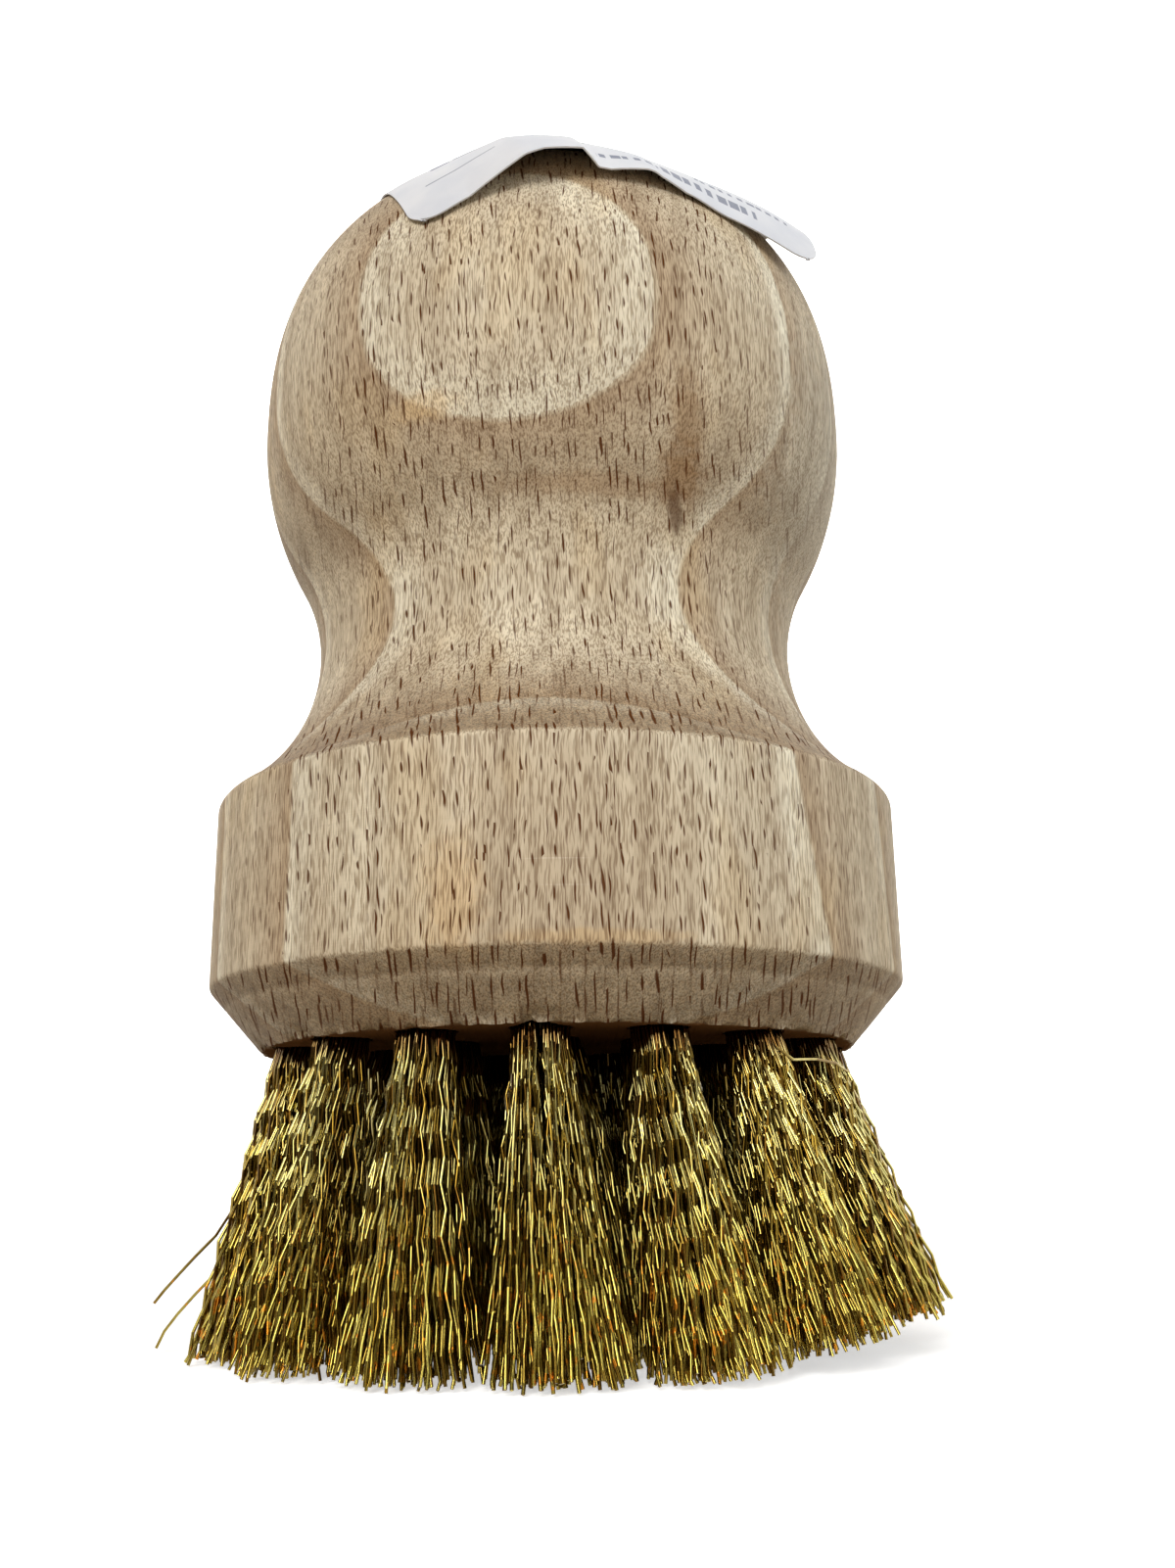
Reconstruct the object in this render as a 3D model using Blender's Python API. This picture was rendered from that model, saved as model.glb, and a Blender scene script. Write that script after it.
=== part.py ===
"""A palm-held grill brush: a turned beech handle with rings of brass wire tufts set in its underside.

Units are metres, with +Z up. The origin lies on the handle's axis, in the plane of the wire tips that the
brush stands on. -Y is the front. Each tuft is folded over a flat anchor near the bottom of its bore.
"""

import math

import bmesh
import bpy
from mathutils import Matrix, Vector

MM = 0.001

# Turned handle: a straight collar with a chamfer below it, a hollow waist and a round knob
COLLAR_RADIUS = 30.0 * MM
COLLAR_HEIGHT = 15.5 * MM
CHAMFER_HEIGHT = 5.1 * MM
CHAMFER_WIDTH = 4.5 * MM
HOLLOW_RADIUS = 17.1 * MM
WAIST_RADIUS = 21.7 * MM
KNOB_RADIUS = 27.4 * MM
CROWN_HEIGHT = 25.7 * MM
CROWN_FULLNESS = 2.5  # exponent of the crown's outline, where 2 is an ellipse and more is squarer
EDGE_ROUND = 0.7 * MM

# Brass tufts, in rings from the rim inwards
BRISTLE_LENGTH = 24.0 * MM  # height of the handle's underside above the wire tips
RINGS = (("outer", 16), ("middle", 10), ("inner", 3))
INNER_RING_RADIUS = 5.7 * MM  # of its bores at the underside; the rings between are evenly spaced
RIM_MARGIN = 0.6 * MM  # wood left between the outer bores and the underside's edge
OUTER_LEAN = math.radians(11.7)  # how far the outer tufts lean out; the inner ones lean less
BORE_RADIUS = 2.4 * MM
BORE_DEPTH = 10.0 * MM
ROOT_PROUD = 0.8 * MM  # how far a tuft's packed root shows below its bore

# Strands of a tuft: each stands for a lock of fine wires
STRAND_CIRCLES = (1, 5, 10)  # strands on each circle of a tuft, from its middle outwards
STRAND_SIDES = 3
STRAND_ROOT_RADIUS = 0.42 * MM
STRAND_TIP_RADIUS = 1.05 * MM
STRAND_OVERLAP = 0.3 * MM  # least depth of a strand inside the root that it is fused to
STRAND_MARGIN = 0.05 * MM  # root left round the outermost strands
TIP_GAP = 0.5 * MM  # least gap between the tips of neighbouring tufts

# Flat wire anchor that holds each tuft's fold
ANCHOR_HEIGHT = 1.6 * MM
ANCHOR_THICKNESS = 0.5 * MM
ANCHOR_BITE = 0.6 * MM  # how far each end bites into the bore's wall
ANCHOR_CORNER = 0.35 * MM
FOLD_THICKNESS = 1.3 * MM  # wires that pass over the anchor

# Paper label on the knob's crown
LABEL_LENGTH = 40.0 * MM
LABEL_WIDTH = 30.0 * MM
LABEL_CORNER = 3.0 * MM
LABEL_THICKNESS = 0.2 * MM
LABEL_TILT = math.radians(23.0)  # of its middle, from the crown's top towards the front
LABEL_SHIFT = math.radians(9.0)  # of its middle, round the axis towards +X
LABEL_TURN = math.radians(16.6)  # of its long side, rising towards +X
PANEL_MIDDLES = (-13.5 * MM, -1.7 * MM, 10.0 * MM)  # along the label, where its flat panels touch the knob
END_LIFT = 0.9 * MM  # of the stiff end at +X, beyond what a flat panel gives
END_REACH = 7.0 * MM  # length of that end

FIT_GAP = 0.3 * MM  # clearance between pieces that seat on one another

# Fineness of the round shapes
TURNED_STEPS = 48
HOLLOW_STEPS = 9
BALL_STEPS = 4
CROWN_STEPS = 8
EDGE_STEPS = 2
BORE_STEPS = 10
LABEL_CELLS = (16, 10)
MERGE_DISTANCE = 0.01 * MM

# Worked out from the sizes above
BASE_Z = BRISTLE_LENGTH
CHAMFER_TOP_Z = BASE_Z + CHAMFER_HEIGHT
COLLAR_TOP_Z = CHAMFER_TOP_Z + COLLAR_HEIGHT
UNDERSIDE_RADIUS = COLLAR_RADIUS - CHAMFER_WIDTH
HOLLOW_CENTRE_R = WAIST_RADIUS + HOLLOW_RADIUS
HOLLOW_CENTRE_Z = COLLAR_TOP_Z + math.sqrt(HOLLOW_RADIUS**2 - (HOLLOW_CENTRE_R - COLLAR_RADIUS) ** 2)
KNOB_CENTRE_Z = HOLLOW_CENTRE_Z + math.sqrt((KNOB_RADIUS + HOLLOW_RADIUS) ** 2 - HOLLOW_CENTRE_R**2)
OUTER_RING_RADIUS = UNDERSIDE_RADIUS - RIM_MARGIN - BORE_RADIUS
ROOT_RADIUS = BORE_RADIUS - FIT_GAP
ANCHOR_LENGTH = 2 * (BORE_RADIUS + ANCHOR_BITE)
ANCHOR_DEPTH = BORE_DEPTH - FIT_GAP - FOLD_THICKNESS - FIT_GAP - ANCHOR_HEIGHT / 2


def clear_scene():
    for thing in list(bpy.data.objects):
        bpy.data.objects.remove(thing)


def make_material(name, colour, roughness, metallic=0.0):
    material = bpy.data.materials.new(name)
    material.use_nodes = True
    shader = material.node_tree.nodes["Principled BSDF"]
    shader.inputs["Base Color"].default_value = (*colour, 1.0)
    shader.inputs["Roughness"].default_value = roughness
    shader.inputs["Metallic"].default_value = metallic
    return material


def make_object(name, mesh, material=None):
    thing = bpy.data.objects.new(name, mesh)
    bpy.context.scene.collection.objects.link(thing)
    if material:
        mesh.materials.append(material)
    return thing


def mesh_from(bm, name, sharp_angle=None):
    """Turns a bmesh into a mesh, shaded smooth with sharp edges above sharp_angle where one is given."""
    bmesh.ops.recalc_face_normals(bm, faces=bm.faces)
    mesh = bpy.data.meshes.new(name)
    bm.to_mesh(mesh)
    bm.free()
    if sharp_angle is not None:
        mesh.shade_smooth()
        mesh.set_sharp_from_angle(angle=sharp_angle)
    return mesh


def as_helper(thing):
    """Marks a cutter, which is no part of the brush."""
    thing.hide_render = True
    thing.display_type = "WIRE"
    return thing


def add_boolean(thing, other, operation):
    modifier = thing.modifiers.new(f"{operation} {other.name}", "BOOLEAN")
    modifier.operation = operation
    modifier.object = other
    modifier.solver = "EXACT"


def evaluated_mesh(thing, name):
    """A plain mesh of what the modifiers of a thing make."""
    graph = bpy.context.evaluated_depsgraph_get()
    mesh = bpy.data.meshes.new_from_object(thing.evaluated_get(graph))
    mesh.name = name
    return mesh


def rounded_corner(before, corner, after, radius, steps):
    """Points of an arc that rounds the corner of a two-line path."""
    back = (before - corner).normalized()
    ahead = (after - corner).normalized()
    half_angle = back.angle(ahead) / 2
    reach = radius / math.tan(half_angle)
    centre = corner + (back + ahead).normalized() * (radius / math.sin(half_angle))
    first = (corner + back * reach - centre).normalized()
    last = (corner + ahead * reach - centre).normalized()
    return [centre + first.slerp(last, step / steps) * radius for step in range(steps + 1)]


def arc_points(centre, radius, start, end, steps):
    """Points of an arc after its first one, up to its last."""
    points = []
    for step in range(1, steps + 1):
        angle = start + (end - start) * step / steps
        points.append(centre + Vector((math.cos(angle), math.sin(angle))) * radius)
    return points


def crown_distance(elevation):
    """Distance from the knob's centre to the crown's surface, at an elevation above the knob's equator."""
    across = (math.cos(elevation) / KNOB_RADIUS) ** CROWN_FULLNESS
    upward = (math.sin(elevation) / CROWN_HEIGHT) ** CROWN_FULLNESS
    return (across + upward) ** (-1 / CROWN_FULLNESS)


def handle_outline():
    """(radius, height) of the turned outline, from the middle of the underside up to the top."""
    bottom = Vector((0, BASE_Z))
    underside_edge = Vector((UNDERSIDE_RADIUS, BASE_Z))
    chamfer_edge = Vector((COLLAR_RADIUS, CHAMFER_TOP_Z))
    collar_edge = Vector((COLLAR_RADIUS, COLLAR_TOP_Z))
    hollow_centre = Vector((HOLLOW_CENTRE_R, HOLLOW_CENTRE_Z))
    knob_centre = Vector((0, KNOB_CENTRE_Z))

    # The hollow's arc runs from the collar's edge to where it meets the knob's ball, on the line of centres
    to_collar = collar_edge - hollow_centre
    to_knob = knob_centre - hollow_centre
    collar_angle = math.atan2(to_collar.y, to_collar.x) + 2 * math.pi
    knob_angle = math.atan2(to_knob.y, to_knob.x)
    hollow = arc_points(hollow_centre, HOLLOW_RADIUS, collar_angle, knob_angle, HOLLOW_STEPS)
    ball = arc_points(knob_centre, KNOB_RADIUS, knob_angle - math.pi, 0.0, BALL_STEPS)

    crown = []
    for step in range(1, CROWN_STEPS):
        elevation = math.pi / 2 * step / CROWN_STEPS
        direction = Vector((math.cos(elevation), math.sin(elevation)))
        crown.append(knob_centre + direction * crown_distance(elevation))
    top = knob_centre + Vector((0, CROWN_HEIGHT))

    return [
        bottom,
        *rounded_corner(bottom, underside_edge, chamfer_edge, EDGE_ROUND, EDGE_STEPS),
        *rounded_corner(underside_edge, chamfer_edge, collar_edge, EDGE_ROUND, EDGE_STEPS),
        *rounded_corner(chamfer_edge, collar_edge, hollow[0], EDGE_ROUND, EDGE_STEPS),
        *hollow,
        *ball,
        *crown,
        top,
    ]


def turned_mesh(outline, name, steps, sharp_angle):
    """Spins an outline that starts and ends on the axis."""
    bm = bmesh.new()
    points = [bm.verts.new((point.x, 0, point.y)) for point in outline]
    edges = [bm.edges.new(pair) for pair in zip(points, points[1:])]
    bmesh.ops.spin(
        bm,
        geom=points + edges,
        cent=(0, 0, 0),
        axis=(0, 0, 1),
        angle=2 * math.pi,
        steps=steps,
        use_merge=True,
    )
    bmesh.ops.remove_doubles(bm, verts=bm.verts, dist=MERGE_DISTANCE)
    return mesh_from(bm, name, sharp_angle)


def ring_radius(ring):
    """Radius of a ring's bores at the underside; ring 0 is the outer one."""
    inwards = ring / (len(RINGS) - 1)
    return OUTER_RING_RADIUS + (INNER_RING_RADIUS - OUTER_RING_RADIUS) * inwards


def ring_lean(ring):
    """Lean of a ring's tufts: its tangent grows with the ring's radius."""
    return math.atan(math.tan(OUTER_LEAN) * ring_radius(ring) / OUTER_RING_RADIUS)


def tip_radius(ring):
    """Radius of the circle on which the middles of a ring's tips stand."""
    return ring_radius(ring) + BRISTLE_LENGTH * math.tan(ring_lean(ring))


def tuft_spread():
    """How far a tuft's tips may reach from their middle, clear of every neighbouring tuft."""
    distances = [tip_radius(ring) - tip_radius(ring + 1) for ring in range(len(RINGS) - 1)]
    for ring, (_, count) in enumerate(RINGS):
        distances.append(2 * tip_radius(ring) * math.sin(math.pi / count))
    return (min(distances) - TIP_GAP) / 2


def tuft_places(ring):
    """(number, angle) of each tuft of a ring, counted from the front."""
    count = RINGS[ring][1]
    return [(number + 1, -math.pi / 2 + 2 * math.pi * number / count) for number in range(count)]


def mouth_matrix(ring, angle):
    """Where a tuft stands: its bore's mouth, turned so that local +X points away from the axis."""
    turn = Matrix.Rotation(angle, 4, "Z")
    return turn @ Matrix.Translation((ring_radius(ring), 0, BASE_Z))


def bore_matrix(ring):
    """In a tuft's own frame, the bore's axis as local Z, leaning in towards the handle's axis as it rises."""
    return Matrix.Rotation(-ring_lean(ring), 4, "Y")


def add_cylinder(bm, radius, low, high, matrix):
    """A closed cylinder from low to high along the matrix's Z axis, with a flat side towards its +X and -X."""
    middle = Matrix.Translation((0, 0, (low + high) / 2))
    bmesh.ops.create_cone(
        bm,
        cap_ends=True,
        segments=BORE_STEPS,
        radius1=radius,
        radius2=radius,
        depth=high - low,
        matrix=matrix @ middle,
    )


def add_box(bm, size, matrix):
    bmesh.ops.create_cube(bm, size=1.0, matrix=matrix @ Matrix.Diagonal((*size, 1.0)))


def make_bore_cutter():
    """All the bores, each open well past the underside."""
    bm = bmesh.new()
    for ring in range(len(RINGS)):
        for _, angle in tuft_places(ring):
            stand = mouth_matrix(ring, angle) @ bore_matrix(ring)
            add_cylinder(bm, BORE_RADIUS, -BORE_DEPTH / 2, BORE_DEPTH, stand)
    return as_helper(make_object("cutter_bores", mesh_from(bm, "cutter_bores")))


def make_kerf_cutter():
    """The kerfs that the anchors' ends bite in the walls of the bores."""
    size = (ANCHOR_LENGTH + 2 * FIT_GAP, ANCHOR_THICKNESS + 2 * FIT_GAP, ANCHOR_HEIGHT + 2 * FIT_GAP)
    lift = Matrix.Translation((0, 0, ANCHOR_DEPTH))
    bm = bmesh.new()
    for ring in range(len(RINGS)):
        for _, angle in tuft_places(ring):
            add_box(bm, size, mouth_matrix(ring, angle) @ bore_matrix(ring) @ lift)
    return as_helper(make_object("cutter_kerfs", mesh_from(bm, "cutter_kerfs")))


def make_handle(material):
    mesh = turned_mesh(handle_outline(), "handle", TURNED_STEPS, math.radians(30))
    handle = make_object("handle", mesh, material)
    for cutter in (make_bore_cutter(), make_kerf_cutter()):
        add_boolean(handle, cutter, "DIFFERENCE")
    return handle


def strand_spots():
    """(share of the spread, bearing) of each strand, on circles round the middle of a tuft."""
    spots = []
    for circle, count in enumerate(STRAND_CIRCLES):
        share = circle / (len(STRAND_CIRCLES) - 1)
        for number in range(count):
            spots.append((share, 2 * math.pi * (number + 0.5 * (circle % 2)) / count))
    return spots


def edges_among(verts):
    """The edges that join these vertices to one another."""
    chosen = set(verts)
    edges = {edge for vert in verts for edge in vert.link_edges}
    return [edge for edge in edges if chosen.issuperset(edge.verts)]


def add_strand(bm, ring, share, bearing):
    """One strand with level ends, from inside the root down to the plane of the tips."""
    lean = ring_lean(ring)
    root_height = STRAND_OVERLAP + ROOT_RADIUS * math.sin(lean) - ROOT_PROUD * math.cos(lean)
    root_reach = ROOT_RADIUS * math.cos(math.pi / BORE_STEPS) - STRAND_ROOT_RADIUS - STRAND_MARGIN
    tip_reach = tuft_spread() - STRAND_TIP_RADIUS
    facing = Vector((math.cos(bearing), math.sin(bearing), 0))
    ends = []
    for height, reach, thickness in (
        (root_height, root_reach, STRAND_ROOT_RADIUS),
        (-BRISTLE_LENGTH, tip_reach, STRAND_TIP_RADIUS),
    ):
        middle = Vector((-height * math.tan(lean), 0, height)) + facing * (reach * share)
        stand = Matrix.Translation(middle) @ Matrix.Rotation(bearing, 4, "Z")
        circle = bmesh.ops.create_circle(bm, segments=STRAND_SIDES, radius=thickness, cap_ends=True, matrix=stand)
        ends.append(circle["verts"])
    loops = [edge for verts in ends for edge in edges_among(verts)]
    bmesh.ops.bridge_loops(bm, edges=loops)


def tuft_mesh(ring, name):
    """A tuft in its own frame: a packed root with a window for the anchor, and strands fused to its lower end."""
    into_bore = bore_matrix(ring)
    bm = bmesh.new()
    add_cylinder(bm, ROOT_RADIUS, -ROOT_PROUD, BORE_DEPTH - FIT_GAP, into_bore)
    root = make_object("root", mesh_from(bm, "root"))

    bm = bmesh.new()
    for share, bearing in strand_spots():
        add_strand(bm, ring, share, bearing)
    strands = as_helper(make_object("strands", mesh_from(bm, "strands")))

    bm = bmesh.new()
    window = (ANCHOR_LENGTH, ANCHOR_THICKNESS + 2 * FIT_GAP, ANCHOR_HEIGHT + 2 * FIT_GAP)
    add_box(bm, window, into_bore @ Matrix.Translation((0, 0, ANCHOR_DEPTH)))
    window_cutter = as_helper(make_object("cutter_window", mesh_from(bm, "cutter_window")))

    add_boolean(root, window_cutter, "DIFFERENCE")
    add_boolean(root, strands, "UNION")
    mesh = evaluated_mesh(root, name)
    for helper in (root, strands, window_cutter):
        bpy.data.objects.remove(helper)
    return mesh


def anchor_mesh():
    """A flat strip with cut corners, along X, in the frame of its bore."""
    half_length = ANCHOR_LENGTH / 2
    half_height = ANCHOR_HEIGHT / 2
    outline = []
    for side_x, side_z in ((1, -1), (1, 1), (-1, 1), (-1, -1)):
        along = (side_x * (half_length - ANCHOR_CORNER), side_z * half_height)
        upright = (side_x * half_length, side_z * (half_height - ANCHOR_CORNER))
        outline += [along, upright] if side_x * side_z < 0 else [upright, along]
    bm = bmesh.new()
    face = bm.faces.new([bm.verts.new((x, -ANCHOR_THICKNESS / 2, z)) for x, z in outline])
    grown = bmesh.ops.extrude_face_region(bm, geom=[face], use_keep_orig=True)["geom"]
    moved = [item for item in grown if isinstance(item, bmesh.types.BMVert)]
    bmesh.ops.translate(bm, verts=moved, vec=(0, ANCHOR_THICKNESS, 0))
    return mesh_from(bm, "anchor")


def make_tufts(brass, steel):
    """Every tuft and its anchor, as objects that share one mesh in each ring."""
    anchor = anchor_mesh()
    anchor.materials.append(steel)
    for ring, (ring_name, _) in enumerate(RINGS):
        tuft = tuft_mesh(ring, f"tuft_{ring_name}")
        tuft.materials.clear()
        tuft.materials.append(brass)
        in_bore = bore_matrix(ring) @ Matrix.Translation((0, 0, ANCHOR_DEPTH))
        for number, angle in tuft_places(ring):
            stand = mouth_matrix(ring, angle)
            make_object(f"tuft_{ring_name}_{number:02d}", tuft).matrix_world = stand
            make_object(f"anchor_{ring_name}_{number:02d}", anchor).matrix_world = stand @ in_bore


def label_basis():
    """Unit vectors of the label's middle: along its length, along its width towards the back, and outwards."""
    front = Vector((math.sin(LABEL_SHIFT), -math.cos(LABEL_SHIFT), 0))
    outward = Vector((0, 0, 1)) * math.cos(LABEL_TILT) + front * math.sin(LABEL_TILT)
    level = Vector((0, 0, 1)).cross(outward).normalized()
    rise = outward.cross(level)
    along = level * math.cos(LABEL_TURN) + rise * math.sin(LABEL_TURN)
    return along, outward.cross(along), outward


def on_rounded_rectangle(s, t):
    """Pulls a point of the label's sheet in to its rounded corner."""
    half_s = LABEL_LENGTH / 2 - LABEL_CORNER
    half_t = LABEL_WIDTH / 2 - LABEL_CORNER
    over = Vector((max(abs(s) - half_s, 0), max(abs(t) - half_t, 0)))
    excess = over * max(0, 1 - LABEL_CORNER / max(over.length, LABEL_CORNER))
    return s - math.copysign(excess.x, s), t - math.copysign(excess.y, t)


def label_lift(s, t):
    """How far the stiff paper stands off the knob: in flat panels along its long edges, and at its +X end."""
    panel = min((s - middle) ** 2 for middle in PANEL_MIDDLES) / (2 * KNOB_RADIUS)
    looseness = (2 * t / LABEL_WIDTH) ** 2
    end = max(0, (s - LABEL_LENGTH / 2 + END_REACH) / END_REACH)
    return panel * looseness + END_LIFT * end**2


def label_point(s, t):
    """The place on the knob of a point of the label's sheet, by its distance and bearing from the middle."""
    along, across, outward = label_basis()
    flat = along * s + across * t
    angle = flat.length / KNOB_RADIUS
    direction = outward * math.cos(angle) + flat.normalized() * math.sin(angle)
    distance = crown_distance(math.asin(direction.z)) + FIT_GAP + label_lift(s, t)
    return Vector((0, 0, KNOB_CENTRE_Z)) + direction * distance


def make_label(material):
    bm = bmesh.new()
    cells_long, cells_wide = LABEL_CELLS
    bmesh.ops.create_grid(bm, x_segments=cells_long, y_segments=cells_wide, size=0.5)
    for vert in bm.verts:
        vert.co = label_point(*on_rounded_rectangle(vert.co.x * LABEL_LENGTH, vert.co.y * LABEL_WIDTH))
    label = make_object("paper_label", mesh_from(bm, "paper_label"), material)
    facing_out = label.data.polygons[0].normal.dot(label_basis()[2]) > 0
    thickness = label.modifiers.new("thickness", "SOLIDIFY")
    thickness.thickness = LABEL_THICKNESS
    thickness.offset = 1.0 if facing_out else -1.0
    return label


def main():
    clear_scene()
    beech = make_material("beech", (0.56, 0.42, 0.29), 0.62)
    brass = make_material("brass", (0.66, 0.52, 0.17), 0.28, metallic=1.0)
    steel = make_material("steel", (0.55, 0.55, 0.56), 0.35, metallic=1.0)
    paper = make_material("paper", (0.84, 0.86, 0.89), 0.6)
    make_handle(beech)
    make_tufts(brass, steel)
    make_label(paper)


main()
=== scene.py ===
"""Looks of a palm-held grill brush: figured beech, crimped brass wires and a creased paper label.

Units are metres, with +Z up and the front at -Y. The frame gives the handle's height and radius and the
number of tufts; the other sizes are those of the solids that these pieces stand for.
"""

import logging
import math
from collections.abc import Callable
from dataclasses import dataclass, field
from enum import Enum
from typing import Union

import bmesh
import bpy
import numpy as np
from mathutils import Matrix, Vector, noise


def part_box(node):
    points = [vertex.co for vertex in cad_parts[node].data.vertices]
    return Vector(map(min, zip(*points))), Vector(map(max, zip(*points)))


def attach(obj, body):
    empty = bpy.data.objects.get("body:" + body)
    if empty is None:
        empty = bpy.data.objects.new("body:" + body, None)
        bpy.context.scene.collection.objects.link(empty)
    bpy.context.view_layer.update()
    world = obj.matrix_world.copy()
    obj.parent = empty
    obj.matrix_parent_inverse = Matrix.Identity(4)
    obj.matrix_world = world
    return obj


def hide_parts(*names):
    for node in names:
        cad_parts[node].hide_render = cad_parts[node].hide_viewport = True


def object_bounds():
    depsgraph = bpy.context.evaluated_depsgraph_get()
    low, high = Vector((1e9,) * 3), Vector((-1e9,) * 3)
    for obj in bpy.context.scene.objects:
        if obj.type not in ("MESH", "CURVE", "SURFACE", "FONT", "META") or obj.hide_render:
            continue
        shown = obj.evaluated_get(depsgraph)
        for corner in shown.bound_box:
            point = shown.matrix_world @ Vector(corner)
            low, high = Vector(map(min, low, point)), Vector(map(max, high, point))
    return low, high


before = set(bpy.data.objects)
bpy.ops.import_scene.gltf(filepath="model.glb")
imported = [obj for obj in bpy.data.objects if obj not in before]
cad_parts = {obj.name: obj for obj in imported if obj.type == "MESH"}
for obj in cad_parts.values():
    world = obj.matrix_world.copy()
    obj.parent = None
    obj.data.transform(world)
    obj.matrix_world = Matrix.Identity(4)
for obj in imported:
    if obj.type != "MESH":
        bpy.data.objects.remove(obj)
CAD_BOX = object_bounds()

LOG = logging.getLogger("grill_brush")

MM = 0.001
PER_MM = (1 / MM, 1 / MM, 1 / MM)
FULL_TURN = 2 * math.pi
TOP = Vector((0, 0, 1))
BODY = "root"
MERGE_DISTANCE = 0.005 * MM
WIRE_MERGE_DISTANCE = 0.0005 * MM

Colour = tuple[float, float, float]
Point = tuple[float, float, float]
Feed = Union[float, tuple, "Signal"]
Key = Union[str, int]
Inputs = Union[tuple, dict[Key, Feed]]


class Slot(Enum):
    """Material slots, by name."""

    WOOD = "beech"
    WIRE = "brass_wire"
    ANCHOR = "anchor_steel"
    PAPER = "label_paper"


class Ring(Enum):
    """Rings of tufts, named as their nodes are."""

    OUTER = "outer"
    MIDDLE = "middle"
    INNER = "inner"

    def tufts(self) -> list[str]:
        """Names of the ring's tufts in the frame, in order."""
        return sorted(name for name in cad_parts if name.startswith(f"tuft_{self.value}_"))


def tint(*screen: int) -> Colour:
    """The linear colour of a screen colour, whose parts go from 0 to 255."""
    shares = [part / 255 for part in screen]
    return tuple(part / 12.92 if part <= 0.04045 else ((part + 0.055) / 1.055) ** 2.4 for part in shares)


def smooth(value: float, low: float, high: float) -> float:
    """An eased step from 0 at low to 1 at high."""
    share = min(max((value - low) / (high - low), 0.0), 1.0)
    return share * share * (3 - 2 * share)


def add_object(name: str, data: bpy.types.ID) -> bpy.types.Object:
    """Puts a new object in the scene.

    Args:
        name: Its name.
        data: Its mesh, curve, lamp or camera.

    Returns:
        The object.
    """
    thing = bpy.data.objects.new(name, data)
    bpy.context.scene.collection.objects.link(thing)
    return thing


def link_piece(name: str, mesh: bpy.types.Mesh, slot: Slot, *nodes: str) -> bpy.types.Object:
    """Puts a finished mesh in the scene as a piece of the brush.

    Args:
        name: The piece's name.
        mesh: Its mesh, already in place.
        slot: Not used.
        nodes: The CAD nodes that it stands for.

    Returns:
        The new object, riding on the brush's one body.
    """
    piece = add_object(name, mesh)
    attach(piece, BODY)
    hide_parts(*nodes)
    return piece


def mesh_from(bm: bmesh.types.BMesh, name: str) -> bpy.types.Mesh:
    """Ends a bmesh as a mesh whose faces point outwards.

    Args:
        bm: The bmesh, which is freed.
        name: The mesh's name.

    Returns:
        The mesh.
    """
    bmesh.ops.remove_doubles(bm, verts=bm.verts, dist=MERGE_DISTANCE)
    bmesh.ops.recalc_face_normals(bm, faces=bm.faces)
    mesh = bpy.data.meshes.new(name)
    bm.to_mesh(mesh)
    bm.free()
    return mesh


def evaluated_mesh(thing: bpy.types.Object) -> bpy.types.Mesh:
    """A new mesh of what an object's curve or modifiers make."""
    graph = bpy.context.evaluated_depsgraph_get()
    return bpy.data.meshes.new_from_object(thing.evaluated_get(graph))


def spin(bm: bmesh.types.BMesh, points: list[Vector], angle: float, steps: int) -> None:
    """Spins a line of points round the Z axis.

    Args:
        bm: The bmesh that takes the surface.
        points: The points, in order.
        angle: How far they turn.
        steps: In how many steps.
    """
    verts = [bm.verts.new(point) for point in points]
    edges = [bm.edges.new(pair) for pair in zip(verts, verts[1:])]
    ends = {"geom": verts + edges, "cent": (0, 0, 0), "axis": (0, 0, 1)}
    bmesh.ops.spin(bm, angle=angle, steps=steps, use_merge=angle == FULL_TURN, **ends)


def finish_piece(piece: bpy.types.Object, material: bpy.types.Material, crease: float) -> None:
    """Applies a piece's modifiers and dresses it.

    Args:
        piece: The piece.
        material: Its material.
        crease: Angle in degrees above which an edge stays sharp.
    """
    mesh = evaluated_mesh(piece)
    piece.modifiers.clear()
    piece.data = mesh
    mesh.materials.clear()
    mesh.materials.append(material)
    mesh.shade_smooth()
    mesh.set_sharp_from_angle(angle=math.radians(crease))


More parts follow.
